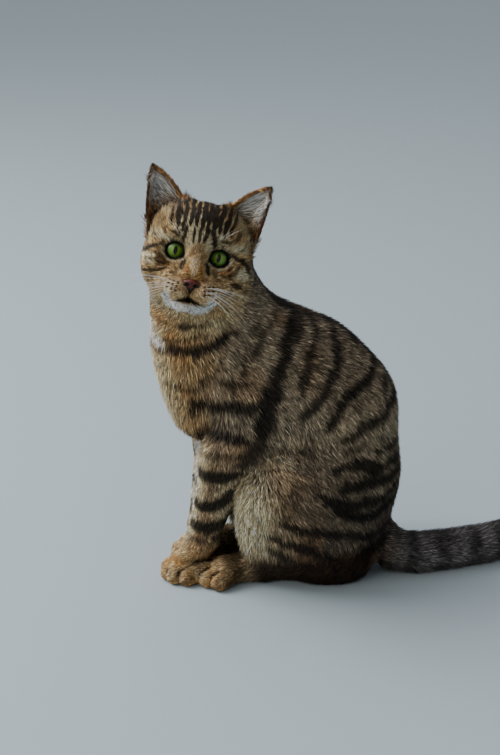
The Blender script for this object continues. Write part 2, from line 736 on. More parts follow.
# %% Where the stripes run
FLANK = [  # stripes on the side view, x and z, with a half width and a strength
    ([(-15, 232), (-21, 220), (-23, 211), (-27, 197), (-30, 186)], 7.3, 0.95),
    ([(-30, 186), (-35, 172), (-39, 158), (-42, 146)], 11.0, 0.97),
    ([(-42, 146), (-48, 133), (-56, 121)], 9.3, 0.9),
    ([(-15, 243), (-11, 236), (-9, 227), (-13, 217)], 6.1, 0.85),
    ([(3, 231), (5, 220), (2, 211), (-3, 200), (-7, 190), (-9, 178)], 5.2, 0.9),
    ([(-6, 166), (-8, 156)], 5.5, 0.9),
    ([(24, 226), (22, 210), (22, 201), (19, 191), (13, 183), (7, 174), (0, 167), (-5, 159)], 5.5, 0.92),
    ([(42, 214), (40, 206)], 5.2, 0.9),
    ([(60, 199), (55, 189), (48, 182), (38, 176), (29, 169), (20, 158), (13, 147)], 5.8, 0.95),
    ([(66, 176), (65, 167)], 4.4, 0.85),
    ([(76, 161), (61, 152), (50, 148), (42, 146), (33, 140), (25, 136)], 5.2, 0.92),
    ([(45, 131), (34, 128), (24, 126)], 3.8, 0.7),
    ([(85, 124), (73, 122), (62, 123), (52, 123)], 5.1, 0.9),
    ([(80, 107), (65, 110), (55, 106), (45, 112), (35, 117), (24, 115), (16, 111)], 5.4, 0.95),
    ([(80, 97), (64, 97), (41, 99), (30, 98), (20, 96)], 5.8, 0.95),
    ([(78, 86), (63, 82), (47, 83), (30, 82), (17, 86), (5, 91)], 5.8, 0.95),
    ([(74, 73), (54, 70), (40, 70), (26, 73), (18, 78)], 7.0, 0.97),
    ([(70, 50), (54, 48), (33, 51), (14, 55), (-2, 61), (-15, 65), (-28, 70)], 5.2, 0.92),
    ([(66, 37), (52, 33), (38, 27)], 8.6, 0.9),
    ([(25, 28), (7, 35), (-6, 43), (-16, 48), (-27, 53), (-36, 58)], 5.1, 0.9),
    ([(9, 15), (2, 20), (-10, 26), (-21, 34), (-33, 44)], 4.7, 0.85),
    ([(9, 26), (19, 19)], 6.5, 0.8),
    ([(-23, 129), (-33, 129), (-40, 122)], 3.4, 0.6),
    ([(4, 120), (-8, 125), (-19, 126)], 3.3, 0.55),
    ([(-12, 101), (-2, 98), (6, 99)], 3.3, 0.5),
    ([(-25, 90), (-15, 83), (-4, 79)], 3.3, 0.5),
    ([(-52, 108), (-51, 103)], 4.0, 0.85),
    ([(-56, 210), (-53, 201), (-55, 194)], 3.4, 0.75),
    ([(-73, 190), (-61, 187), (-48, 187)], 3.4, 0.8),
    ([(-40, 228), (-45, 217), (-47, 208)], 3.8, 0.75),
    ([(-30, 238), (-36, 231)], 3.8, 0.75),
    ([(-75, 154), (-66, 156), (-55, 155)], 3.1, 0.6),
]

# %% Necklaces and bars of the legs
NECKLACES = [  # the same for the throat, the breast and the upper arm
    ([(-103, 239), (-94, 242), (-85, 243), (-75, 244), (-65, 241)], 4.5, 0.9),
    ([(-120, 222), (-109, 224), (-98, 227), (-90, 232)], 2.4, 0.6),
    ([(-124, 211), (-111, 217), (-94, 217), (-79, 223), (-67, 233), (-61, 236)], 5.1, 0.95),
    ([(-111, 185), (-94, 183), (-86, 190), (-80, 197)], 3.5, 0.75),
    ([(-93, 175), (-91, 165), (-92, 157)], 4.6, 0.9),
    ([(-93, 165), (-86, 169), (-67, 169), (-56, 168), (-45, 170)], 7.0, 0.95),
    ([(-88, 137), (-82, 139), (-74, 146), (-63, 145), (-54, 138)], 6.5, 0.95),
    ([(-81, 122), (-70, 129), (-60, 129)], 3.5, 0.7),
]
LEG_BARS = [  # the same for the forelegs
    ([(-92, 103), (-83, 105), (-71, 108), (-59, 112)], 7.1, 0.95),
    ([(-94, 76), (-85, 75), (-75, 78), (-66, 87), (-59, 95)], 6.4, 0.95),
    ([(-100, 51), (-87, 52), (-76, 55), (-66, 59)], 7.7, 0.95),
    ([(-97, 37), (-82, 38)], 3.0, 0.5),
]

# %% Lines of the face
BROW = [  # stripes on the face, across (positive on the cat's left) and up
    ([(-27.0, 3.2), (-32.1, 1.9), (-36.2, -0.9), (-39.8, -3.8), (-43, -6.5)], 1.5, 0.95),
    ([(-42, -18.8), (-36.2, -18.6), (-31.6, -17.7), (-25.6, -17.1), (-20.7, -15.5)], 1.3, 0.9),
    ([(-36, -23.0), (-26.2, -21.5)], 1.1, 0.5),
    ([(-31.4, -9.8), (-28.1, -11.3), (-22.5, -12.7)], 1.1, 0.8),
    ([(-33.5, -4.3), (-29.9, -5.6), (-25.6, -7.8)], 1.3, 0.6),
    ([(-9.9, -2.5), (-8.2, -6.5), (-8.3, -11.8), (-9.5, -14.0)], 1.9, 0.95),
    ([(10.0, -2.0), (8.8, -6.6), (9.5, -10.9), (11.1, -14.5)], 2.2, 0.95),
    ([(24.8, 3.8), (29.0, 2.6), (33.2, 1.5), (37.8, -1.0), (40.4, -3.8), (41.2, -8)], 2.0, 0.95),
    ([(33.5, -3.8), (32.3, -7.9), (28.9, -11.2), (25.3, -13.2), (20.1, -13.5)], 1.5, 0.75),
    ([(30.2, -17.6), (34.3, -18.1), (37.6, -18.9)], 2.4, 0.9),
    ([(42.6, -13.7), (44.2, -14.5)], 1.5, 0.7),
    ([(-10.7, 5.8), (-11.4, 9.9), (-11.6, 15.3), (-11.3, 20.1)], 1.6, 0.95),
    ([(-17.1, 11.5), (-19.2, 14.2), (-22.6, 14.5)], 1.3, 0.8),
    ([(-15.5, 15.4), (-16.2, 11.8)], 1.1, 0.8),
    ([(-4.2, 7.9), (-5.1, 15.5), (-5.5, 20.0)], 1.1, 0.95),
    ([(0.0, 9.3), (-0.4, 17.1), (0.3, 21.8), (1.5, 25.9)], 1.5, 0.9),
    ([(3.2, 9.9), (4.3, 14.1), (5.6, 17.6), (6.4, 20.4)], 1.8, 0.95),
    ([(3.3, 23.1), (4.6, 26.6), (4.7, 29.9)], 1.1, 0.8),
    ([(11.9, 7.2), (10.6, 15.3), (9.3, 19.0), (9.1, 23.5), (10.0, 27.7), (9.7, 31.0)], 2.2, 0.95),
    ([(11.9, 7.2), (10.7, 3.6), (10.1, -0.2)], 1.1, 0.8),
    ([(16.3, 13.5), (19.6, 13.6), (22.6, 13.8)], 1.3, 0.85),
    ([(16.6, 10.3), (19.3, 11.2)], 1.0, 0.8),
    ([(-9.3, 34.1), (-7.9, 27.1)], 2.2, 0.9),
    ([(-5.6, 35.7), (-4.1, 27.8)], 1.9, 0.9),
]
TAIL_RINGS = 29.0  # mm from one ring to the next
CROWN_STREAKS = 4.6  # mm from one streak of the crown to the next

# %% Drawing the stripes


def stripes_on(v, lines, rough):
    """Largest of all lines: strength times a smooth edge at the half width, tapering at both ends."""
    dark = np.zeros(len(v))
    for points, half, strength in lines:
        d, along = curve_distance(v, points)
        taper = half * (0.55 + 0.45 * np.sqrt(np.clip(4 * along * (1 - along), 0, 1)))
        rugged = rough * min(1.7, half / 3)
        dark = np.maximum(dark, strength * ramp(d + rugged, taper * 1.3, taper * 0.6))
    return dark


def spine_share(p, normal):
    """1 along the middle of the back, 0 from 17 mm to the side."""
    back = ramp(normal[:, 0] * 0.75 + normal[:, 2] * 0.6, 0.45, 0.8)
    return back * ramp(np.abs(p[:, 1] + 2 * noise(p, 22, 5)), 17, 5) * ramp(p[:, 0], -66, -46)


print(len(FLANK + NECKLACES + LEG_BARS), "stripes on the body,", len(BROW), "on the face")

# %% Markings of the body


def ground_colour(p, q, part, back):
    """Banded grey-brown, darker above and behind, with rusty patches, ochre throat and paws, grey tail."""
    x, _, z = p.T
    head, fore, foot, paw, tail = part
    warm = 0.8 * ramp(x, -60, -100) * ramp(z, 105, 140)
    warm = warm * (1 - 0.9 * head * ramp(q[:, 2], -52, -40))
    warm = np.maximum.reduce([warm, 0.9 * paw, 0.3 * fore])
    low = 0.8 * ramp(z, 150, 80) * ramp(x, -30, 5) + 0.25 * ramp(x, -70, -40) * ramp(z, 130, 170)
    grey = np.clip(0.2 + 0.5 * noise(p, 30, 6) + 0.6 * back + low, 0, 1) * (1 - 0.7 * warm)
    red = ramp(noise(p, 26, 15), 0.05, 0.7) * ramp(x, 40, -10) * 0.4 * (1 - 0.8 * head)
    red = np.maximum(red, 0.5 * foot)
    colour = laid(GROUND, GROUND_DARK, grey)
    colour = laid(colour, GROUND_DARK * 1.25, 0.75 * fore * (1 - paw))
    colour = laid(colour, RUST, red * (1 - warm))
    colour = laid(colour, WARM, warm * (0.8 + 0.2 * noise(p, 9, 7)))
    return laid(colour, TAIL_GREY, tail)


def pale_patches(p, normal, part):
    """Share of pale hair on knee, bib, breast, legs and toes, and the bib's and the inner leg's alone."""
    x, y, z = p.T
    _, fore, _, paw, _ = part
    frayed = z + 7 * noise(p, 9, 42)
    knee = np.exp(-(((x + 54) / 19) ** 2 + ((z - 66) / 36) ** 2)) * ramp(np.abs(y), 80, 66)
    bib = ramp(np.abs(y + 4) + 8 * noise(p, 9, 41), 26, 8) * ramp(x, -96, -112)
    bib = bib * ramp(frayed, 203, 216) * ramp(frayed, 240, 222)
    breast = 0.7 * ramp(np.abs(y + 4), 26, 8) * ramp(x, -84, -112) * ramp(z, 112, 130) * ramp(z, 214, 206)
    inner_leg = fore * (1 - paw) * ramp(-np.sign(y - 8) * normal[:, 1], -0.1, 0.5)
    front_leg = fore * (1 - paw) * ramp(-normal[:, 0], 0.7, 0.95) * 0.8
    toe_tops = 0.4 * paw * ramp(normal[:, 2], -0.2, 0.6) * ramp(noise(p, 9, 28), -1.0, 0.2)
    pale = np.maximum.reduce([knee * 1.3, bib, breast, inner_leg, front_leg, toe_tops])
    return np.clip(pale, 0, 1), bib, inner_leg


# %% Stripes of the body


def body_stripes(p, normal, part, back, pale, bib, inner_leg):
    """Darkness of the stripes, bars, rings and speckle: the largest of them at each point."""
    x, _, z = p.T
    _, fore, foot, paw, tail = part
    loose = noise(p, 5.5, 1) * 1.4 + noise(p, 2.2, 2) * 1.0
    warped = p[:, [0, 2]] + np.stack([noise(p, 24, 3), noise(p, 24, 4)], 1) * 2.4
    lines = stripes_on(warped, FLANK + NECKLACES, loose) * (1 - tail) * (1 - 0.6 * bib)
    bars = stripes_on(warped, LEG_BARS, 0.6 * loose) * (1 - 0.7 * inner_leg)
    speckle = ramp(noise(p, 4.2, 18) + 0.6 * noise(p, 9, 19), 0.3, 0.75) * (1 - pale) * (1 - 0.7 * paw)
    behind_leg = 0.75 * fore * (1 - paw) * ramp(normal[:, 0] + 0.3 * noise(p, 6, 29), 0.15, 0.6)
    pastern = 0.55 * speckle * fore * ramp(z, 46, 30)
    behind_paw = 0.75 * paw * ramp(x + 5 * noise(p, 6, 30), -80, -58)
    hind_foot = 0.88 * foot * (1 - paw) * ramp(x, -52, -38)
    ring = ramp(np.cos((x - 92 + 3 * noise(p, 16, 9)) / TAIL_RINGS * 2 * np.pi) + 0.5 * loose, -0.6, 0.9)
    on_top = ramp(normal[:, 2], -0.35, 0.55)
    rings = tail * np.clip(0.05 + 0.25 * on_top + ring * 0.5 + ramp(x, 270, 292), 0, 0.95)
    leg_parts = [behind_leg, pastern, behind_paw, hind_foot]
    return np.maximum.reduce([lines, bars, 0.6 * speckle, back * 0.85, *leg_parts, rings])


def body_colours(p, normal, q, part):
    """Colour of everything but the face, and the darkness of its stripes."""
    back = spine_share(p, normal)
    pale, bib, inner_leg = pale_patches(p, normal, part)
    pale_hair = laid(CREAM, WHITE, ramp(np.maximum(bib, inner_leg), 0.3, 0.9))
    colour = laid(ground_colour(p, q, part, back), pale_hair, 0.85 * pale)
    dark = body_stripes(p, normal, part, back, pale, bib, inner_leg)
    return colour, dark * (1 - part[0] * ramp(q[:, 2], -56, -49))


# %% Markings of the face


def face_patches(q, fold, colour, face):
    """Pale, rusty and white patches over the ground of the face, and how far they hide stripes."""
    front = face * ramp(q[:, 1], -26, -12)
    frayed = 0.12 * noise(q, 3.5, 14)

    def patch(centre, radii):
        """1 inside an ellipse on the face's front, across and up, with a frayed edge."""
        d = (fold[:, [0, 2]] - np.array(centre)) / np.array(radii)
        return front * ramp(np.sqrt((d * d).sum(1)) + frayed, 1.15, 0.6)

    brow = np.maximum(patch((0, 17), (22, 16)) * 0.7, patch((28, 9), (12, 4)) * 0.75)
    cheek = np.maximum(patch((36, -9.5), (8, 5)) * 0.8, patch((26, 29), (6, 4)) * 0.4)
    below_eye = np.maximum(patch((24, -9.5), (10, 4.5)) * 0.75, patch((9, -20), (4, 4)) * 0.6)
    bridge, pad = patch((0, -13), (8, 10)), patch((12, -28), (9.5, 8))
    jaw, _ = curve_distance(fold[:, [0, 2]], [(0, -41.8), (7, -41.8), (14, -39), (18, -34)])
    chin = front * ramp(jaw, 3.6, 2.0)
    for shade, share in (
        (TAN, 0.65 * face),
        (CREAM * 0.9, brow),
        (CREAM, cheek),
        (RUST, below_eye),
        (WARM * 0.55, patch((0, 1), (6, 9)) * 0.6),  # between the eyes
        (WARM * 0.95, bridge),
        (NOSE_BRIDGE, patch((-0.5, -9), (4.4, 12)) * 0.8),
        (SAND, pad * 0.95),
        (WHITE, chin * 0.95),
        (CREAM * 0.8, face * ramp(q[:, 2], -40, -52) * 0.5),  # under the chin
    ):
        colour = laid(colour, shade, share)
    return colour, np.maximum.reduce([pad, chin, bridge * 0.8])


# %% Muzzle and whisker spots


def bright_share(p):
    """1 on the muzzle, the chin and the paws, where hairs have no dark points."""
    q = folded(p)
    muzzle = head_share(q) * ramp(q[:, 1], -2, 6) * ramp(q[:, 2], -6, -14)
    return np.maximum(muzzle, 0.6 * shares(p)[3])


def whisker_spots(fold):
    """Dark spots where the whiskers grow: three rows of three on each pad."""
    spots = np.zeros(len(fold))
    for row in range(3):
        for place in range(3):
            at = (10.4 + 3.1 * place + 0.5 * row, -24.0 - 2.8 * row + 0.5 * place)
            spots = np.maximum(spots, ramp(np.hypot(fold[:, 0] - at[0], fold[:, 2] - at[1]), 1.25, 0.8))
    return spots


# %% Stripes and rims of the face


def face_stripes(p, q, fold, head, face, plain):
    """Lines of the face, streaks over the crown, mottle, the ears' dark feet and the whiskers' spots."""
    rough = noise(p, 4.0, 24) * 0.6 + noise(p, 1.8, 25) * 0.4
    wobble = q[:, [0, 2]] + np.stack([noise(q, 8, 12), noise(q, 8, 13)], 1) * 0.5
    lines = face * stripes_on(wobble, BROW, rough)
    streak = np.cos(fold[:, 0] / CROWN_STREAKS * 2 * np.pi + 2.2 * noise(q, 9, 10))
    streak = streak + 0.7 * noise(q * (3, 1, 1), 6, 11)
    level = ramp(q[:, 2] + 0.15 * fold[:, 0] + 2.5 * noise(q, 5, 22), 12, 27) * ramp(fold[:, 0], 29, 19)
    level = np.maximum(level, 0.85 * (1 - face / np.maximum(head, 0.01)))
    crown = head * ramp(q[:, 2], -34, 0) * ramp(streak + 2.9 * level, 1.7, 2.3)
    crown = crown * ramp(level, 0.02, 0.2) * 0.96
    mottle = ramp(noise(q, 3.4, 16) + 0.6 * noise(q, 1.7, 17), 0.05, 0.5) * face * ramp(fold[:, 0], 11, 17)
    mottle = 0.7 * mottle * ramp(np.abs(q[:, 2]), 34, 20)
    root = np.hypot((fold[:, 0] - EAR_OUTER[0]) / 5, (fold[:, 2] - EAR_OUTER[1] + 3) / 7)
    ear_foot = 0.8 * head * ramp(root + 0.3 * noise(q, 3, 27), 1.1, 0.6)
    dark = np.maximum.reduce([lines, crown, mottle, ear_foot]) * (1 - 0.85 * plain)
    return np.maximum(dark, 0.95 * whisker_spots(fold) * face * ramp(q[:, 1], -2, 2))


def rim_share(q, fold, face, near_eye):
    """1 on the rims of the eyes and on the lips, which gape a little in the middle."""
    rim = near_eye * ramp(lid_opening(fold), 2.3, 1.4)
    mouth, along = curve_distance(fold[:, [0, 2]], MOUTH)
    thick = 1.15 + 0.7 * ramp(along, 0.2, 0.35) - 1.45 * ramp(along, 0.45, 0.8)
    gap = ramp(fold[:, 0] * 0.3 + np.abs(q[:, 2] + 35.9), 2.9, 2.2)
    lips = np.maximum(ramp(mouth / thick, 1.25, 0.7), gap)
    return np.maximum(rim, 0.97 * face * ramp(q[:, 1], -4, 2) * lips)


# %% All markings


def markings(p, normal):
    """Colour of the coat (linear) and its darkness at body points."""
    q, fold, part = to_head(p), folded(p), shares(p)
    head = part[0]
    face = head * ramp(q[:, 1], -34, -20)
    colour, dark = body_colours(p, normal, q, part)
    colour, plain = face_patches(q, fold, colour, face)
    dark = np.maximum(dark, face_stripes(p, q, fold, head, face, plain))
    colour = laid(colour, STRIPE, 0.98 * dark)
    near_eye = face * ramp(np.sqrt(((fold - EYE_AT) ** 2).sum(1)), 17, 13)
    pale_lid = ramp(np.abs(lid_opening(fold) - 3.1), 1.6, 0.5) * ramp(fold[:, 2], 5, -3)
    colour = laid(colour, CREAM * 1.05, 0.65 * near_eye * pale_lid)
    rim = rim_share(q, fold, face, near_eye)
    return np.clip(laid(colour, RIM, rim), 0.002, 1), np.maximum(dark, rim)


flank_colour, flank_dark = markings(np.array([[0.0, -60, 150]]), np.array([[0.0, -1, 0]]))
print("a point of the flank:", flank_colour[0].round(3), "darkness %.2f" % flank_dark[0])

# %% [markdown]
# ## The skin's object
#
# Between the tufts the skin and the down close to it show as a darker, softer version of the coat.
# Inside the ears it is reddish and shows between long pale strands; their edges and backs are ochre,
# with a dark tip.

# %% Where the ears are


def ear_share(p, normal):
    """1 on the ears, place across and along, distances inside both edges, 1 where it faces forward."""
    q, fold = to_head(p), folded(p)
    s, t, outer, inner, _ = ear_places(fold)
    on = ramp(np.abs(fold[:, 1] - ear_back(s, t)), 6.5, 3.5) * ramp(np.maximum(outer, inner), 2.5, 0.8)
    on = on * ramp(t, 0.02, 0.14)
    facing = ramp((normal @ HEAD)[:, 1] + np.sign(q[:, 0]) * (normal @ HEAD)[:, 0] * 0.25, -0.05, 0.25)
    return on, s, t, -outer, -inner, facing


def strand_share(on, outer, inner, hollow):
    """1 where the long strands of an ear's hollow grow, 0 at its edges."""
    return on * hollow * ramp(inner, 2.0, 4.5) * ramp(outer, 1.2, 3.0)


# %% Colours with the ears


def coat_colours(p, normal):
    """Markings with the ears painted over: a reddish hollow, ochre edges and back, a dark tip."""
    colour, dark = markings(p, normal)
    on, s, t, outer, inner, hollow = ear_share(p, normal)
    deep = laid(EAR_SKIN, EAR_PALE, ramp(t, 0.2, 0.6))
    deep = laid(deep, EAR_RED, ramp(s, 0.1, -0.5) * ramp(t, 0.62, 0.4))
    behind = laid(GROUND * 0.7, WARM * 0.4, ramp(t, 0.7, 0.3))
    edge = np.maximum(ramp(inner, 5.6 - 2.2 * np.clip(t, 0, 1), 2.2), 0.8 * ramp(outer, 2.4, 1.0))
    black = np.maximum(ramp(t, 0.84, 0.95), 0.85 * ramp(outer, 1.7, 0.8))
    black = np.maximum(black, 0.8 * ramp(t, 0.12, 0.02) * ramp(s, 0.2, -0.4))
    ear = laid(behind, deep, hollow)
    ear = laid(ear, EAR_EDGE, 0.9 * edge)
    ear = laid(ear, STRIPE, 0.85 * black)
    return laid(colour, ear, on), dark * (1 - on)

# %% [markdown]
# ### Meshes from arrays
#
# A mesh with a million corners is slow to build vertex by vertex. Blender takes whole arrays
# through foreach_set, so points, faces and colours are handed over at once. Every object stays at
# the origin, with its place in its mesh.

# %% Meshes from arrays


def new_mesh(name, points_mm, faces, sides):
    """Mesh object from body millimetres and faces of 3 or 4 sides each, as whole arrays."""
    mesh = bpy.data.meshes.new(name)
    points = (np.asarray(points_mm, float) - (SEAT_X, 0, 0)) * MM
    faces = np.asarray(faces, np.int32)
    mesh.vertices.add(len(points))
    mesh.vertices.foreach_set("co", points.astype(np.float32).ravel())
    mesh.loops.add(faces.size)
    mesh.loops.foreach_set("vertex_index", faces.ravel())
    mesh.polygons.add(len(faces))
    mesh.polygons.foreach_set("loop_start", np.arange(0, faces.size, sides, dtype=np.int32))
    mesh.update(calc_edges=True)
    mesh.shade_smooth()
    obj = bpy.data.objects.new(name, mesh)
    bpy.context.scene.collection.objects.link(obj)
    return obj


def paint(obj, name, colours):
    """Stores a linear colour per vertex."""
    rgba = np.ones((len(colours), 4), np.float32)
    rgba[:, :3] = colours
    layer = obj.data.color_attributes.new(name=name, type="FLOAT_COLOR", domain="POINT")
    layer.data.foreach_set("color", rgba.ravel())


def vertex_normals(points, quads):
    """Area-weighted sum of the squares' normals at each vertex."""
    cross = np.cross(points[quads[:, 2]] - points[quads[:, 0]], points[quads[:, 3]] - points[quads[:, 1]])
    normals = np.zeros_like(points)
    for corner in range(4):
        for c in range(3):
            normals[:, c] += np.bincount(quads[:, corner], cross[:, c], len(points))
    return unit(normals)


# %% Skin
skin_normals = vertex_normals(skin_points, skin_quads)
skin = new_mesh("skin", skin_points, skin_quads, 4)
skin_colour, _ = coat_colours(skin_points, skin_normals)
down = 0.55 + 0.45 * ear_share(skin_points, skin_normals)[0][:, None]  # down is darker than the tips
paint(skin, "coat_colour", skin_colour * down)
print("skin object", len(skin.data.polygons), "faces")

# %% [markdown]
# ## The lie of the coat
#
# Hair points away from the nose, back over the head, down the throat and the breast, along the
# trunk towards the rump and slantwise down the flanks, down the legs and forward over the feet, and
# along the tail. Each region states one direction, and the directions are mixed where regions meet.

# %% Direction of the hair
FLOWS = [  # from, to, reach of the influence, direction
    ((-72, 0, 250), (-50, 0, 205), 42, (0.75, 0, -0.66)),
    ((-118, 0, 235), (-112, 0, 150), 34, (0.12, 0, -1)),
    ((-40, 0, 215), (10, 0, 185), 48, (0.72, 0, -0.69)),
    ((20, 0, 150), (40, 0, 110), 46, (0.42, 0, -0.9)),
    ((70, 0, 150), (84, 0, 70), 40, (0.2, 0, -0.98)),
    ((-60, 0, 165), (-20, 0, 130), 40, (0.3, 0, -0.95)),
    ((0, 60, 110), (20, 60, 80), 40, (0.55, 0.1, -0.83)),
    ((0, -60, 110), (20, -60, 80), 40, (0.55, -0.1, -0.83)),
    ((-45, 50, 90), (-40, 45, 40), 26, (0.15, 0, -1)),
    ((-45, -50, 90), (-40, -45, 40), 26, (0.15, 0, -1)),
    ((30, 36, 30), (-36, 32, 14), 22, (-0.9, 0, -0.35)),
    ((30, -36, 30), (-36, -28, 14), 22, (-0.9, 0, -0.35)),
    ((-75, -20, 120), (-88, -6, 40), 26, (0.05, 0, -1)),
    ((-72, 30, 120), (-82, 22, 40), 26, (0.05, 0, -1)),
    ((-90, -6, 22), (-112, -12, 8), 20, (-0.95, 0, -0.4)),
    ((-84, 25, 22), (-106, 28, 8), 20, (-0.95, 0, -0.4)),
    ((-60, -23, 14), (-86, -23, 8), 20, (-0.95, 0, -0.3)),
    ((-50, 36, 14), (-76, 38, 8), 20, (-0.95, 0, -0.3)),
]
print(len(FLOWS), "flows")

# %% Lie of the hair


def ear_brush(p, normal, on):
    """1 in the strip of head fur that stands up before the ear's root."""
    fold = folded(p)
    d, _ = curve_distance(fold[:, [0, 2]], [EAR_OUTER, EAR_INNER])
    outward = (normal @ HEAD[:, 0]) * np.sign(to_head(p)[:, 0])
    before = ramp(fold[:, 1], -48, -38) * ramp(outward, 0.99, 0.92) * ramp(normal @ HEAD[:, 1], -0.5, -0.2)
    return ramp(d, 11, 6) * before * ramp(fold[:, 0], 39, 35) * head_share(fold) * (1 - on)


def lie(p, normal):
    """Flows mixed by exp(-3 (distance/reach)^2), less the part along the normal, as unit vectors."""
    total = np.zeros_like(p)
    for a, b, reach, way in FLOWS:
        weight = np.exp(-3 * (np.maximum(bone(p, a, b, 0, 0), 0) / reach) ** 2) + 1e-6
        total += weight[:, None] * unit(np.array(way, float))
    for a, b in zip(TAIL[1:-1], TAIL[2:]):
        weight = np.exp(-3 * (bone(p, a[:3], b[:3], 0, 0) / 20) ** 2) * 3
        total += weight[:, None] * unit(np.array(b[:3], float) - a[:3])
    q = to_head(p)
    away = unit(q - (0, 16, -17)) + (0, -0.45, 0.1)
    on, _, _, outer, inner, hollow = ear_share(p, normal)
    brush = ear_brush(p, normal, on)
    side = np.sign(q[:, :1])
    to_tip = unit(side * (18, 0, 0) + (0, -4, 44))
    over_hollow = unit(side * (0.95, 0, 0) + (0, 0.25, 0.3))
    within = strand_share(1, outer, inner, hollow)[:, None]
    on_ear = to_tip + (over_hollow - to_tip) * within
    away = unit(away) + (to_tip - unit(away)) * brush[:, None]
    away = away + (on_ear - away) * on[:, None]
    head = head_share(folded(p))[:, None]
    total = unit(total) * (1 - head) + (unit(away) @ HEAD.T) * head
    total = unit(total + noise(p, 30, 21)[:, None] * 0.12 * np.array((0, 1, 0)))
    flat = total - (total * normal).sum(1, keepdims=True) * normal
    return unit(flat)


print("hair on the flank points", lie(np.array([[0.0, -60, 150]]), np.array([[0.0, -1, 0]]))[0].round(2))

# %% [markdown]
# ## Growing tufts
#
# A tuft is a lock of a dozen hairs that stick together: broad at the root, roof-shaped so that it
# takes light like a rounded lock, and drawn out to a point. It leaves the skin at a slant, bends
# and lies down, so that its point ends at the coat's depth. Seven corners and six triangles are
# enough. Roots are scattered over the skin's squares in number to their area, and the tufts of
# each region are joined in one mesh.

# %% [markdown]
# ### Creases
#
# Between two toes the fur is pressed flat and no light gets in, so a dark line parts them. A vertex
# that lies below the middle of its squares is in such a fold, and how deep it lies is kept there.

# %% Creases


def at_vertices(values):
    """Mean at each vertex of what its squares say, from one value for each square's corner."""
    total, number = np.zeros(len(skin_points)), np.zeros(len(skin_points))
    for k in range(4):
        np.add.at(total, skin_quads[:, k], values[:, k])
        np.add.at(number, skin_quads[:, k], 1)
    return total / np.maximum(number, 1)


corner = skin_points[skin_quads]
centre = corner.mean(1)
fold_depth = at_vertices(((centre[:, None] - corner) * skin_normals[skin_quads]).sum(2))
for _ in range(2):
    fold_depth = at_vertices(np.repeat(fold_depth[skin_quads].mean(1)[:, None], 4, 1))
print("creases, mm, at 5, 50 and 95 per cent:", np.percentile(fold_depth, [5, 50, 95]).round(3))

# %% Length, width and number of the tufts


def hair_plan(p, normal):
    """Length and width of the tufts at each point in mm, and their number per square mm."""
    x, z = p[:, 0], p[:, 2]
    q = folded(p)
    head, fore, foot, paw, tail = shares(p)
    ones = np.ones(len(p))
    length, width, number = 10.5 * ones, 0.95 * ones, 1.05 * ones
    chest = ramp(x, -52, -88) * ramp(z, 120, 165)

    def mix(share, a, b, c):
        nonlocal length, width, number
        length = length + (a - length) * share
        width = width + (b - width) * share
        number = number + (c - number) * share

    mix(chest, 12.5, 1.0, 1.1)
    mix(fore, 7.0, 0.75, 1.35)
    mix(foot, 6.5, 0.75, 1.3)
    mix(paw, 3.8, 0.55, 1.9)
    mix(tail, 10.5, 0.95, 1.3)
    mix(head, 8.0, 0.75, 1.35)
    cheek = head * ramp(q[:, 0], 24, 40) * ramp(q[:, 2], 12, -8) * ramp(q[:, 1], -4, -14)
    mix(cheek, 9.5, 0.7, 1.5)
    face = head * ramp(q[:, 1], -24, -8)
    mix(face * (1 - cheek), 4.6, 0.5, 2.1)
    mix(head * ramp(q[:, 1], -4, 8), 2.7, 0.4, 3.0)
    on, s, _, outer, inner, hollow = ear_share(p, normal)
    mix(ear_brush(p, normal, on), 9.5, 0.6, 2.0)
    mix(on, 3.4, 0.5, 1.8)
    mix(strand_share(on, outer, inner, hollow), 4 + 10 * ramp(s, -0.9, 0.6), 0.55, 1.25)
    return length, width, number


# %% Bare places


def bare(p):
    """1 where no hair grows: between the lids, on the nose leather, in the mouth, under the soles."""
    q = folded(p)
    eye = ramp(lid_opening(q), 1.1, 0.6) * ramp(q[:, 1], -16, -10) * head_share(q)
    nose = ramp(ball(q, (0, 20.5, -23.4), (6.4, 5.5, 4.6)), 1.2, 0.2)
    mouth, along = curve_distance(q[:, [0, 2]], MOUTH)
    nose = np.maximum(nose, ramp(mouth, 1.3, 0.8) * ramp(q[:, 1], 0, 4) * ramp(along, 0.75, 0.6))
    sole = ramp(p[:, 2], 0.7, 0.35)
    return np.clip(eye + nose + sole, 0, 1)

# %% [markdown]
# ### Scatter the roots
#
# Each square of the skin gets as many tufts as its area and the number wanted there ask for; what
# is left over after whole numbers is settled by chance, so that no grid shows. Each root lies at a
# random place in its square.

# %% Scatter the roots
face_cross = np.cross(corner[:, 2] - corner[:, 0], corner[:, 3] - corner[:, 1])
face_area = np.sqrt((face_cross**2).sum(1)) / 2
_, _, wanted = hair_plan(centre, unit(face_cross))
wanted = wanted * face_area * (1 - bare(centre))
MOST_TUFTS = 242_000
wanted *= MOST_TUFTS / wanted.sum()
count = np.floor(wanted + rng.random(len(wanted))).astype(int)
on_face = np.repeat(np.arange(len(count)), count)
u, v = rng.random(len(on_face)), rng.random(len(on_face))


def in_square(values):
    """Value at each root's place u, v in its square, from those at the square's four corners."""
    return (
        values[:, 0] * ((1 - u) * (1 - v))[:, None]
        + values[:, 1] * (u * (1 - v))[:, None]
        + values[:, 2] * (u * v)[:, None]
        + values[:, 3] * ((1 - u) * v)[:, None]
    )


root = in_square(corner[on_face])
root_normal = unit(in_square(skin_normals[skin_quads[on_face]]))
crease = fold_depth[skin_quads[on_face]].mean(1)
print(len(root), "tufts over", int(face_area.sum()), "square mm")

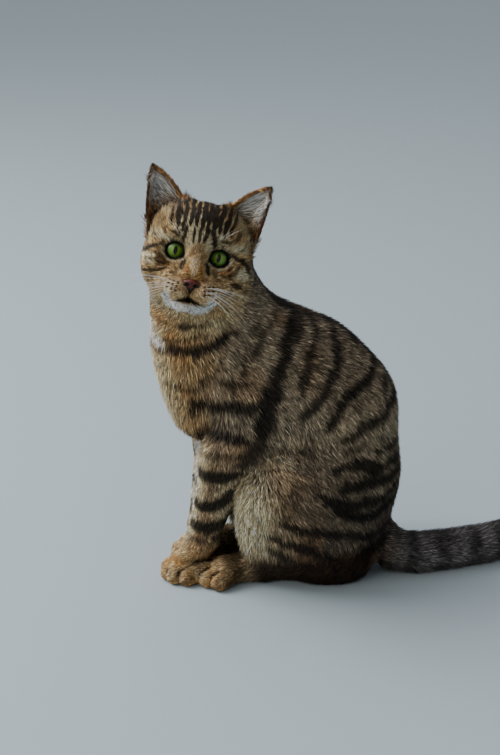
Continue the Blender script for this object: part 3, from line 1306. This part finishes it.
# %% Bend each tuft to the form
length, width, _ = hair_plan(root, root_normal)
length = length * rng.uniform(0.75, 1.2, len(root)) * (1 + 0.15 * noise(root, 12, 31))
width = width * rng.uniform(0.75, 1.25, len(root)) * 1.0
depth = coat_depth(root)
on, ear_s, along_ear, from_outer, from_inner, hollow = ear_share(root, root_normal)
ear_hair = strand_share(on, from_outer, from_inner, hollow)
brush = ear_brush(root, root_normal, on)
loose_hair = np.maximum(on, brush)
depth = depth + (1.0 - depth) * on + 2.2 * ear_hair + 3.0 * brush
way = lie(root, root_normal)
sideways = np.cross(root_normal, way)
drift = noise(root, 6, 32) * 0.22 + rng.normal(0, 0.2, len(root))
way = unit(way + sideways * drift[:, None])
sideways = np.cross(root_normal, way)
lift = rng.uniform(0.62, 1.16, len(root))  # how much of the coat's depth the point reaches


def at_height(points, height):
    """Moves points along the root's normal so that they lie height above the skin, by the body's field."""
    f = in_chunks(body_field, points)
    above = f + coat_depth(points)
    move = np.clip(height - above, -6, 6) * (1 - loose_hair)
    return points + root_normal * move[:, None]


middle = root + way * (length * 0.5)[:, None] + root_normal * (depth * 0.62 * lift)[:, None]
tip = root + way * length[:, None] + root_normal * (depth * lift)[:, None]
middle = at_height(middle, depth * 0.66 * lift)
tip = at_height(tip, depth * lift)
tip[:, 2] = np.maximum(tip[:, 2], 0.15)
middle[:, 2] = np.maximum(middle[:, 2], 0.3)
print("tuft length, mm: %.1f to %.1f" % (length.min(), length.max()))

# %% [markdown]
# ### Colour of the tufts
#
# The middle and the point of a tuft each take the marking they lie on, a little astray to the side,
# so that stripes keep their place in long hair and fray at their edges. The foot is dark with down,
# half of the points are black and a quarter are pale, and toes are dark in the creases between them.

# %% Colour each tuft
TICKED, PALE = 0.5, 0.28  # shares of the tufts with black and with pale points
astray = sideways * (rng.normal(0, 0.12, len(root)) * length * (1 - 0.75 * shares(root)[0]))[:, None]
below_middle = root + way * (length * 0.45)[:, None] + astray
below_tip = root + way * (length * 0.9)[:, None] + astray
base, darkness = coat_colours(below_middle, root_normal)
end, end_darkness = coat_colours(below_tip, root_normal)
strand = laid(EAR_HAIR_ROOT, EAR_HAIR, ramp(along_ear, 0.15, 0.45))
strand = strand * np.where(rng.random(len(root)) < 0.14, 0.15, 1.0)[:, None]
base, end = laid(base, strand, 0.9 * ear_hair), laid(end, strand, 0.9 * ear_hair)
tone = np.exp(0.52 * rng.standard_normal(len(root)) + 0.5 * noise(root, 2.6, 33) - 0.08)
tone = np.clip(tone, 0.18, 2.8) * (1 - 0.9 * shares(root)[3] * ramp(crease, 0.005, 0.04))
tone = tone[:, None]
draw = rng.random(len(root))
plain = np.clip(darkness + ear_hair + bright_share(root), 0, 1)
ticked = ((draw < TICKED) * (1 - plain))[:, None]
pale_tip = ((draw > 1 - PALE) * (1 - 0.6 * end_darkness))[:, None]
foot_colour = base * tone * 0.3
middle_colour = base * tone * (1.05 + 0.45 * ticked)
tip_colour = end * tone * (1.1 + 0.7 * pale_tip)
tip_colour = tip_colour + (end * 0.12 - tip_colour) * ticked
shades = np.clip(np.stack([foot_colour, middle_colour, tip_colour], 1), 0.002, 0.95)
print("mean colour of the middles:", middle_colour.mean(0).round(3))

# %% [markdown]
# ## One mesh for each region, with a map of its roots
#
# When the coat's colours are baked, each tuft needs its own small place on a map. The map is an
# unwrap of the skin's own shape: round the trunk, a leg or the tail and along it, around the head
# like a globe, and flat for each face of an ear. A tuft takes a patch three thousandths of the map
# across, at its root.

# %% Regions and their unwraps


def wrap(p, a, b, zero):
    """Turn about the axis a-b from the direction zero, in turns, and distance along it."""
    a, b = np.array(a, float), np.array(b, float)
    axis = unit(b - a)
    e1 = np.array(zero, float)
    e1 = unit(e1 - (e1 @ axis) * axis)
    e2 = np.cross(axis, e1)
    rel = p - a
    return np.arctan2(rel @ e2, rel @ e1) / (2 * np.pi), rel @ axis


def globe(p, front):
    """Longitude from the front (or the back) of the head, and latitude."""
    q = to_head(p) - (0, -26, -2)
    r = np.sqrt((q * q).sum(1))
    turn = np.arctan2(q[:, 0], q[:, 1] if front else -q[:, 1])
    return turn / (2 * np.pi), np.arcsin(np.clip(q[:, 2] / r, -1, 1))


print("a turn about Z:", wrap(np.array([[0, 1, 0]]), (0, 0, 0), (0, 0, 1), (1, 0, 0))[0])

# %% Which tuft belongs where
q_root = to_head(root)
head_part = head_share(folded(root)) > 0.5
is_ear = (on > 0.5) & head_part
is_face = head_part & ~is_ear & (q_root[:, 1] > -17)
is_crown = head_part & ~is_ear & ~is_face
below = ~head_part
is_tail = below & (root[:, 0] > 78) & (root[:, 2] < 60)
fore_share = ramp(root[:, 0], -52, -62) * (root[:, 2] < 132)
is_fore = below & (fore_share > 0.5)
is_hind = below & ~is_tail & ~is_fore & (root[:, 2] < 34)
is_neck = below & ~is_fore & (root[:, 2] > 205) & (root[:, 0] < -30)
is_chest = below & ~is_fore & ~is_neck & (root[:, 0] < -30) & (root[:, 2] > 118)
is_side = below & ~(is_tail | is_fore | is_hind | is_neck | is_chest)
is_high = root[:, 2] > 104
around_body = {side: wrap(root, (6, 0, 20), (6, 0, 240), (0, side, 0)) for side in (-1, 1)}
split = root[:, 1] + 0.02 * root[:, 0]
regions = {
    "coat_face": (is_face, globe(root, True)),
    "coat_crown": (is_crown, globe(root, False)),
    "coat_ear_left": (is_ear & (q_root[:, 0] > 0), None),
    "coat_ear_right": (is_ear & (q_root[:, 0] < 0), None),
    "coat_neck": (is_neck, wrap(root, (-76, 0, 200), (-84, -14, 290), (-1, 0, 0))),
    "coat_chest": (is_chest, wrap(root, (-66, 0, 110), (-66, 0, 250), (-1, 0, 0))),
    "coat_flank_left": (is_side & is_high & (root[:, 1] < 0), around_body[-1]),
    "coat_flank_right": (is_side & is_high & (root[:, 1] >= 0), around_body[1]),
    "coat_thigh_left": (is_side & ~is_high & (root[:, 1] < 0), around_body[-1]),
    "coat_thigh_right": (is_side & ~is_high & (root[:, 1] >= 0), around_body[1]),
    "coat_foreleg_left": (is_fore & (split < 7.5), wrap(root, (-70, -22, 130), (-96, -8, 0), (0, -1, 0))),
    "coat_foreleg_right": (is_fore & (split >= 7.5), wrap(root, (-68, 30, 130), (-90, 25, 0), (0, 1, 0))),
    "coat_hind_foot_left": (is_hind & (root[:, 1] < 4), wrap(root, (60, -32, 12), (-90, -22, 8), (0, -1, 0))),
    "coat_hind_foot_right": (is_hind & (root[:, 1] >= 4), wrap(root, (60, 36, 12), (-80, 38, 8), (0, 1, 0))),
    "coat_tail": (is_tail, wrap(root, (60, -20, 18), (310, 20, 14), (0, 0, 1))),
}
print({name: int(chosen.sum()) for name, (chosen, _) in regions.items()})

# %% Grow the coat
FAN = np.array([[0, 3, 4], [0, 4, 1], [1, 4, 5], [1, 5, 2], [3, 6, 4], [4, 6, 5]])
PATCH = 0.003
LOCAL = np.array([(-0.5, 0), (0, 0), (0.5, 0), (-0.4, 0.5), (0, 0.5), (0.4, 0.5), (0, 1)]) - (0, 0.5)


def spread(values, margin=0.01):
    """Values moved to run from margin to 1 - margin."""
    low, high = values.min(), values.max()
    return margin + (1 - 2 * margin) * (values - low) / max(high - low, 1e-6)


def grow(name, chosen, unwrap):
    """Joins the chosen tufts in one mesh with their colours and the OFBake map."""
    r, m, t = root[chosen], middle[chosen], tip[chosen]
    w, across, up = width[chosen][:, None], sideways[chosen], root_normal[chosen]
    corners = np.stack(
        [
            r - across * w * 0.5 - up * 0.4,
            r + up * w * 0.1,
            r + across * w * 0.5 - up * 0.4,
            m - across * w * 0.42,
            m + up * w * 0.3,
            m + across * w * 0.42,
            t,
        ],
        1,
    )
    corners[..., 2] = np.maximum(corners[..., 2], 0.05)
    n = len(r)
    faces = (np.arange(n)[:, None, None] * 7 + FAN[None]).reshape(-1, 3)
    obj = new_mesh(name, corners.reshape(-1, 3), faces, 3)
    paint(obj, "coat_colour", shades[chosen][:, [0, 0, 0, 1, 1, 1, 2]].reshape(-1, 3))
    if unwrap is None:
        face = 0.5 * (hollow[chosen] > 0.5)  # the sheet's two faces lie side by side on the map
        uv = np.stack([0.5 * spread(ear_s[chosen]) + face, spread(along_ear[chosen])], 1)
        uv = np.clip(uv, 0.004, 0.996)
    else:
        uv = np.stack([spread(unwrap[0][chosen]), spread(unwrap[1][chosen])], 1)
    patch_uv = uv[:, None, :] + LOCAL[None] * PATCH
    layer = obj.data.uv_layers.new(name="OFBake")
    layer.data.foreach_set("uv", patch_uv[:, FAN.ravel()].reshape(-1).astype(np.float32))
    print(name, n, "tufts", 6 * n, "triangles")
    return obj


coat = [grow(name, chosen, unwrap) for name, (chosen, unwrap) in regions.items()]

# %% [markdown]
# ## Eyes
#
# A cat's eye shows almost nothing but iris: yellow-green, darker at its outer rim, with an upright
# pupil, under a clear cornea that bulges. Each eye is a ball whose front carries the iris as smooth
# values (distance from the middle, angle, distance from the pupil's edge), so that the finish can
# colour it sharply at any size. A wet clear coat over it gives the cornea's highlight.

# %% Eye balls
IRIS_RADIUS = 6.9
PUPIL = (1.6, 3.5)  # half width and half height
CORNEA = 0.8  # mm by which the clear front bulges


def sphere(rings, segments):
    """Unit ball with its pole along +Y: longitude and latitude on a grid; faces as squares."""
    a = np.linspace(0, np.pi, rings + 1)[:, None]
    b = np.linspace(0, 2 * np.pi, segments, endpoint=False)[None]
    points = np.stack([np.sin(a) * np.cos(b), np.cos(a) + 0 * b, np.sin(a) * np.sin(b)], -1).reshape(-1, 3)
    i, j = np.meshgrid(np.arange(rings), np.arange(segments), indexing="ij")
    k = (j + 1) % segments
    quads = np.stack([i * segments + j, i * segments + k, (i + 1) * segments + k, (i + 1) * segments + j], -1)
    return points, quads.reshape(-1, 4)


def store(obj, name, values):
    """Stores a number per vertex."""
    layer = obj.data.attributes.new(name=name, type="FLOAT", domain="POINT")
    layer.data.foreach_set("value", np.asarray(values, np.float32))


eyes = {}
ball_points, ball_quads = sphere(72, 96)
for side, name in ((-1, "right"), (1, "left")):
    local = ball_points * (EYE_RADIUS - 0.15)
    bulge = ramp(np.hypot(local[:, 0], local[:, 2]), 8.2, 0) * (local[:, 1] > 0)
    local[:, 1] += bulge * CORNEA
    eye = new_mesh(f"eye_ball_{name}", from_head(local + EYE_AT * (side, 1, 1)), ball_quads, 4)
    gaze = local - (-0.4 * side, 0, 0.2)  # the eyes look a little towards each other and up
    flat_r = np.hypot(gaze[:, 0], gaze[:, 2])
    store(eye, "below_brow", 1 - 0.72 * ramp(local[:, 2], 1.5, 5.5))
    store(eye, "iris", np.where(local[:, 1] > 0, flat_r / IRIS_RADIUS, 2.0))
    store(eye, "angle", np.arctan2(gaze[:, 2], gaze[:, 0]))
    store(eye, "pupil", np.hypot(gaze[:, 0] / PUPIL[0], gaze[:, 2] / PUPIL[1]))
    eyes[name] = eye
print("eyes", {n: len(e.data.polygons) for n, e in eyes.items()})

# %% [markdown]
# ## Nose leather
#
# The tip of the nose is bare, finely pebbled skin: two wings round the comma-shaped nostrils and a
# narrow strip down to the lip. It is small but it is what the eye goes to, so it has a field and a
# fine mesh of its own.

# %% Nose


def nose_field(p):
    """Top pad, two wings and the strip below, less the nostrils and the middle groove."""
    q = folded(p)
    f = ball(q, (0, 19.4, -21.9), (5.2, 4.6, 2.8))
    f = blend(f, ball(q, (4.3, 18.9, -23.1), (3.1, 4.4, 2.8)), 2.0)
    f = blend(f, ball(q, (0, 18.9, -25.4), (3.0, 4.6, 3.2)), 2.0)
    f = cut(f, -ball(q, (3.5, 23.6, -23.8), (1.5, 2.6, 1.0)), 0.6)
    f = cut(f, -ball(q, (5.7, 21.2, -22.9), (1.9, 2.2, 0.55)), 0.5)
    groove = 0.5 * np.exp(-((q[:, 0] / 0.45) ** 2)) * ramp(q[:, 2], -22.5, -25)
    return f + groove


nose_at = from_head((0, 19, -23.4))
span = np.arange(-11, 11.01, 0.42)
nose_points, nose_quads = surface(nose_field, tuple(nose_at[c] + span for c in range(3)))
nose = new_mesh("nose_leather", nose_points, nose_quads, 4)
nose_q = folded(nose_points)
nostril = ramp(ball(nose_q, (3.9, 22.3, -23.8), (2.5, 3.5, 1.6)), 0.6, -0.2)
store(nose, "shade", np.clip(np.maximum(ramp(nose_q[:, 2], -24.6, -27.2), nostril), 0, 1))
print("nose", len(nose_quads), "squares")

# %% [markdown]
# ## Whiskers and claws
#
# A whisker is a stiff tapering hair on a curve. Three rows of four grow from each pad of the lip and
# two stand above each eye. Each is a tube whose radius falls to nothing along a bent path. Claws are
# short hooked cones, nearly hidden in the fur of the toes.

# %% Tubes along curves


def tubes(name, starts, ways, bends, lengths, radii, rows=14, sides=5):
    """Path: start + t*length*way + t^2*length*bend; radius falls as (1 - t)^0.7; all tubes in one mesh."""
    t = np.linspace(0, 1, rows)[None, :, None]
    reach = lengths[:, None]
    path = starts[:, None] + t * (reach * ways)[:, None] + t**2 * (reach * bends)[:, None]
    tangent = unit(np.gradient(path, axis=1))
    e1 = unit(np.cross(tangent, (0.31, 0.17, 0.93)))
    e2 = np.cross(tangent, e1)
    a = np.linspace(0, 2 * np.pi, sides, endpoint=False)
    r = (radii[:, None] * np.maximum(1 - t[..., 0], 0.02) ** 0.7)[..., None, None]
    ring = e1[:, :, None] * np.cos(a)[:, None] + e2[:, :, None] * np.sin(a)[:, None]
    points = (path[:, :, None] + r * ring).reshape(-1, 3)
    n, i, j = np.meshgrid(np.arange(len(starts)), np.arange(rows - 1), np.arange(sides), indexing="ij")
    k = (j + 1) % sides
    first = (n * rows + i) * sides
    quads = np.stack([first + j, first + k, first + sides + k, first + sides + j], -1).reshape(-1, 4)
    return new_mesh(name, points, quads, 4)


def on_skin(q, direction):
    """Slides head points along a direction until they meet the skin."""
    p = from_head(np.asarray(q, float))
    step = np.asarray(direction, float) @ HEAD.T
    for _ in range(24):
        p = p - step * np.clip(skin_field(p), -3, 3)[:, None] * 0.8
    return p


# %% Whiskers
whisker_rng = np.random.default_rng(5)
starts, ways, bends, lengths = [], [], [], []
for side in (-1, 1):
    for row in range(3):
        for place in range(4):
            across = 10.2 + 2.6 * place + 0.5 * row
            starts.append((side * across, 26 - 0.4 * across, -24.0 - 2.8 * row + 0.4 * place))
            fan = 0.10 - 0.16 * row + whisker_rng.normal(0, 0.05)
            ways.append((side * 1.0, 0.28 - 0.08 * place, fan))
            bends.append((side * -0.05, -0.3, -0.2 - 0.1 * row))
            lengths.append(26 + 4.5 * place + whisker_rng.normal(0, 2.5))
    for place in range(2):
        starts.append((side * (14 + 2.6 * place), 14, 11.5 + 0.6 * place))
        ways.append((side * (0.35 + 0.12 * place), 0.35, 0.8))
        bends.append((side * 0.2, 0.0, -0.22))
        lengths.append(19 + 5 * place)
ways = unit(np.array(ways)) @ HEAD.T
bends = np.array(bends) @ HEAD.T
roots_at = on_skin(starts, (0, 1, 0))
whiskers = tubes("whiskers", roots_at, ways, bends, np.array(lengths), np.full(len(starts), 0.15))
print(len(starts), "whiskers")

# %% Claws
starts, ways = [], []
for side, leg in LEGS.items():
    for paw, turn in ((leg["forepaw"], leg["foreturn"]), (leg["hindpaw"], leg["hindturn"])):
        ahead, aside = paw_axes(side, turn)
        for place, back in TOES:
            toe = aside * place * TOE_SPACING + ahead * (18.2 + back)
            starts.append(np.array([paw[0], paw[1], 6.4]) + toe)
            ways.append(ahead + (0, 0, -0.25))
starts, ways = np.array(starts), unit(np.array(ways))
hook = np.tile((0, 0, -0.45), (len(starts), 1))
claws = tubes("claws", starts, ways, hook, np.full(len(starts), 3.4), np.full(len(starts), 0.75), 8, 8)
print(len(starts), "claws")

# %% [markdown]
# ## Finishes
#
# Hair is keratin: index of refraction 1.55. A coat shines far less than one hair would, because
# each lock turns its own way and shades the next, so it is rough and its reflection is weak. The
# nose is moist skin, rougher than glass but far smoother than hair. The eye is wet, so a clear coat
# of index 1.38 lies over the iris. Colours come from the vertices, with fine noise measured in real
# millimetres.

# %% Adding nodes


def new_material(name):
    """Node material with an empty tree but its output and surface shader."""
    m = bpy.data.materials.new(name)
    m.use_nodes = True
    return m, m.node_tree, m.node_tree.nodes["Principled BSDF"]


def add(tree, kind, links=None, **settings):
    """Adds a node, sets properties and inputs by name (_ for a space), and links inputs from sockets."""
    node = tree.nodes.new(kind)
    for key, value in settings.items():
        if key.replace("_", " ") in node.inputs:
            node.inputs[key.replace("_", " ")].default_value = value
        else:
            setattr(node, key, value)
    for key, socket in (links or {}).items():
        tree.links.new(socket, node.inputs[key])
    return node


def rgba(colour):
    """Linear colour with full alpha."""
    return (*[float(c) for c in colour], 1.0)


def set_inputs(shader, **values):
    """Sets a shader's inputs; underscores stand for spaces."""
    for key, value in values.items():
        shader.inputs[key.replace("_", " ")].default_value = value


# %% Hair and the skin under it
MIX_A, MIX_B, MIXED = 6, 7, 2  # places of a mix node's colour sockets


def furry(name, roughness, bump):
    """Hair or skin coloured by the vertices; fine streaks vary it by a tenth and, on the skin, raise it."""
    m, tree, shader = new_material(name)
    colour = add(tree, "ShaderNodeAttribute", attribute_name="coat_colour")
    place = add(tree, "ShaderNodeTexCoord")
    grain = add(tree, "ShaderNodeTexNoise", {"Vector": place.outputs["Object"]}, Scale=700.0, Detail=3.0)
    grain_level = {"From_Min": 0.3, "From_Max": 0.7, "To_Min": 0.86, "To_Max": 1.14}
    level = add(tree, "ShaderNodeMapRange", {"Value": grain.outputs["Fac"]}, **grain_level)
    both = {MIX_A: colour.outputs["Color"], MIX_B: level.outputs["Result"]}
    mixed = add(tree, "ShaderNodeMix", both, data_type="RGBA", blend_type="MULTIPLY", Factor=1.0)
    tree.links.new(mixed.outputs[MIXED], shader.inputs["Base Color"])
    set_inputs(shader, Roughness=roughness, IOR=1.55, Specular_IOR_Level=0.14)
    if bump:
        raised = add(tree, "ShaderNodeBump", {"Height": grain.outputs["Fac"]}, Strength=0.6, Distance=bump)
        tree.links.new(raised.outputs["Normal"], shader.inputs["Normal"])
    return m


hair = furry("keratin_hair", 0.62, 0)
down_skin = furry("skin_under_down", 0.75, 0.0006)  # relief of the down, 0.6 mm

# %% [markdown]
# ### Iris under the cornea
#
# Muscle fibres in the pigmented layer run outwards from the pupil, and the iris darkens in steps
# towards its rim. The eye's mesh carries the distance from the middle and the angle, so noise
# stretched along one of them draws the fibres. An image could hold them too, but would blur close
# by.

# %% Iris under the cornea
iris, tree, shader = new_material("iris_under_wet_cornea")
radial = add(tree, "ShaderNodeAttribute", attribute_name="iris")
angle = add(tree, "ShaderNodeAttribute", attribute_name="angle")
pupil = add(tree, "ShaderNodeAttribute", attribute_name="pupil")
polar = add(tree, "ShaderNodeCombineXYZ", {"X": angle.outputs["Fac"], "Y": radial.outputs["Fac"]})
stretch = add(tree, "ShaderNodeVectorMath", {0: polar.outputs["Vector"]}, operation="MULTIPLY")
stretch.inputs[1].default_value = (9.0, 1.2, 1.0)
fibres = add(tree, "ShaderNodeTexNoise", {"Vector": stretch.outputs["Vector"]}, Scale=2.2, Detail=3.0)
ring = add(tree, "ShaderNodeValToRGB", {"Fac": radial.outputs["Fac"]})
stops = ring.color_ramp.elements
stops[0].position, stops[0].color = 0.0, rgba(linear("#86962e"))
stops[1].position, stops[1].color = 0.45, rgba(linear("#6f9432"))
for at, code in ((0.78, "#4f7528"), (0.9, "#2c4119"), (0.97, "#0b0c07")):
    stop = stops.new(at)
    stop.color = rgba(linear(code))
fibre_level = {"From_Min": 0.3, "From_Max": 0.7, "To_Min": 0.7, "To_Max": 1.3}
vary = add(tree, "ShaderNodeMapRange", {"Value": fibres.outputs["Fac"]}, **fibre_level)
both = {MIX_A: ring.outputs["Color"], MIX_B: vary.outputs["Result"]}
tinted = add(tree, "ShaderNodeMix", both, data_type="RGBA", blend_type="MULTIPLY", Factor=1.0)
# The upper lid and its hairs darken the top of the iris.
height = add(tree, "ShaderNodeAttribute", attribute_name="below_brow")
both = {MIX_A: tinted.outputs[MIXED], MIX_B: height.outputs["Fac"]}
hooded = add(tree, "ShaderNodeMix", both, data_type="RGBA", blend_type="MULTIPLY", Factor=1.0)
pupil_edge = {"From_Min": 0.86, "From_Max": 1.14, "To_Min": 0.0, "To_Max": 1.0}
open_pupil = add(tree, "ShaderNodeMapRange", {"Value": pupil.outputs["Fac"]}, **pupil_edge)
both = {"Factor": open_pupil.outputs["Result"], MIX_B: hooded.outputs[MIXED]}
seen_iris = add(tree, "ShaderNodeMix", both, data_type="RGBA")
seen_iris.inputs[MIX_A].default_value = rgba(linear("#050505"))
tree.links.new(seen_iris.outputs[MIXED], shader.inputs["Base Color"])
set_inputs(shader, Roughness=0.4, Specular_IOR_Level=0.2, Coat_Weight=0.7, Coat_Roughness=0.02, Coat_IOR=1.38)

# %% [markdown]
# ### Nose leather
#
# The nose is hairless skin with small pebbles, brick red in the middle and nearly black in the
# nostrils and at the lip. Cells of half a millimetre raise it, and the shade kept on its vertices
# darkens it.

# %% Nose leather
leather, tree, shader = new_material("moist_nose_skin")
place = add(tree, "ShaderNodeTexCoord")
PEBBLES = 1900.0  # cells to a metre, half a millimetre each
pebbles = add(tree, "ShaderNodeTexVoronoi", {"Vector": place.outputs["Object"]}, Scale=PEBBLES)
tone_noise = add(tree, "ShaderNodeTexNoise", {"Vector": place.outputs["Object"]}, Scale=260.0, Detail=2.0)
tint = add(tree, "ShaderNodeValToRGB", {"Fac": tone_noise.outputs["Fac"]})
tint.color_ramp.elements[0].position, tint.color_ramp.elements[0].color = 0.35, rgba(linear("#431911"))
tint.color_ramp.elements[1].position, tint.color_ramp.elements[1].color = 0.65, rgba(linear("#6a2c20"))
shade = add(tree, "ShaderNodeAttribute", attribute_name="shade")
both = {"Factor": shade.outputs["Fac"], MIX_A: tint.outputs["Color"]}
darker = add(tree, "ShaderNodeMix", both, data_type="RGBA")
darker.inputs[MIX_B].default_value = rgba(linear("#140a08"))
tree.links.new(darker.outputs[MIXED], shader.inputs["Base Color"])
raised = add(tree, "ShaderNodeBump", {"Height": pebbles.outputs["Distance"]}, Strength=0.5, Distance=0.0002)
tree.links.new(raised.outputs["Normal"], shader.inputs["Normal"])
set_inputs(shader, Roughness=0.42, IOR=1.4)

# %% Whiskers, claws and handing out
whisker_keratin, _, shader = new_material("whisker_keratin")
set_inputs(shader, Base_Color=rgba(linear("#f2eee6")), Roughness=0.35, IOR=1.55)
claw_keratin, _, shader = new_material("claw_keratin")
set_inputs(shader, Base_Color=rgba(linear("#b9a892")), Roughness=0.3, IOR=1.55)

for obj, material in [
    (skin, down_skin),
    (nose, leather),
    (whiskers, whisker_keratin),
    (claws, claw_keratin),
    *[(e, iris) for e in eyes.values()],
    *[(c, hair) for c in coat],
]:
    obj.data.materials.append(material)
print(len(bpy.data.materials), "materials")

# %% [markdown]
# ## What stands for which solid
#
# One skin replaces every solid of flesh, so that no seam of theirs shows. The eyes and the nose
# replace their own solids. Everything rides on the one body that the part has.

# %% Ride and replace
for obj in [skin, nose, whiskers, claws, *eyes.values(), *coat]:
    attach(obj, "root")
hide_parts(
    "head", "ear_left", "ear_right", "neck", "chest", "trunk", "thigh_left", "thigh_right",
    "foreleg_left", "foreleg_right", "forepaw_left", "forepaw_right", "hind_paw_left", "hind_paw_right",
    "hind_foot_left", "hind_foot_right", "tail_1", "tail_2", "tail_3", "tail_4",
)
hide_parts("nose")
for name, eye in eyes.items():
    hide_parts(f"eye_{name}")
print("riding:", 4 + len(eyes) + len(coat), "pieces")

# %% [markdown]
# ## Floor and light
#
# A plain pale floor, and soft light as from an overcast sky: a wide lamp high on the left and behind
# gives the pale edge along the back of the head and the breast, a weaker one in front of it fills
# the face, a broad and faint sun lights the whole floor evenly, and the even surroundings lift the
# shadows.

# %% Stage
FLOOR = 40.0  # half the floor's side in metres; a low view still sees its far edge
floor_points = FLOOR * np.array([(-1, -1, 0), (1, -1, 0), (1, 1, 0), (-1, 1, 0)]) / MM + (SEAT_X, 0, 0)
floor = new_mesh("floor", floor_points, [[0, 1, 2, 3]], 4)
matt_floor, _, shader = new_material("pale_floor")
set_inputs(shader, Base_Color=rgba(linear("#aebbbe")), Roughness=0.7)
floor.data.materials.append(matt_floor)
print("floor, m:", 2 * FLOOR, "square")

# %% Lamps


def lamp(name, kind, at, towards, power, colour, **shape):
    """A lamp at a place that faces a point; shape is a square's side in metres or a sun's angle."""
    data = bpy.data.lights.new(name, kind)
    data.energy, data.color = power, [float(c) for c in linear(colour)]
    for key, value in shape.items():
        setattr(data, key, value)
    obj = bpy.data.objects.new(name, data)
    obj.location = at
    obj.rotation_euler = (Vector(towards) - Vector(at)).to_track_quat("-Z", "Y").to_euler()
    bpy.context.scene.collection.objects.link(obj)


lamp("sky_left", "AREA", (-1.6, 0.7, 1.8), (0, 0, 0.2), 58, "#f7f9ff", size=1.5)
lamp("fill_front", "AREA", (-1.9, -1.5, 1.9), (0, 0, 0.2), 20, "#fff7ee", size=2.0)
lamp("open_sky", "SUN", (-0.5, 0.45, 1.0), (0, 0, 0), 1.0, "#f2f6ff", angle=1.2)
print(len(bpy.data.lights), "lamps")
world = bpy.data.worlds.new("overcast")
world.use_nodes = True
world.node_tree.nodes["Background"].inputs["Color"].default_value = rgba(linear("#dfe5ee"))
world.node_tree.nodes["Background"].inputs["Strength"].default_value = 0.38
bpy.context.scene.world = world
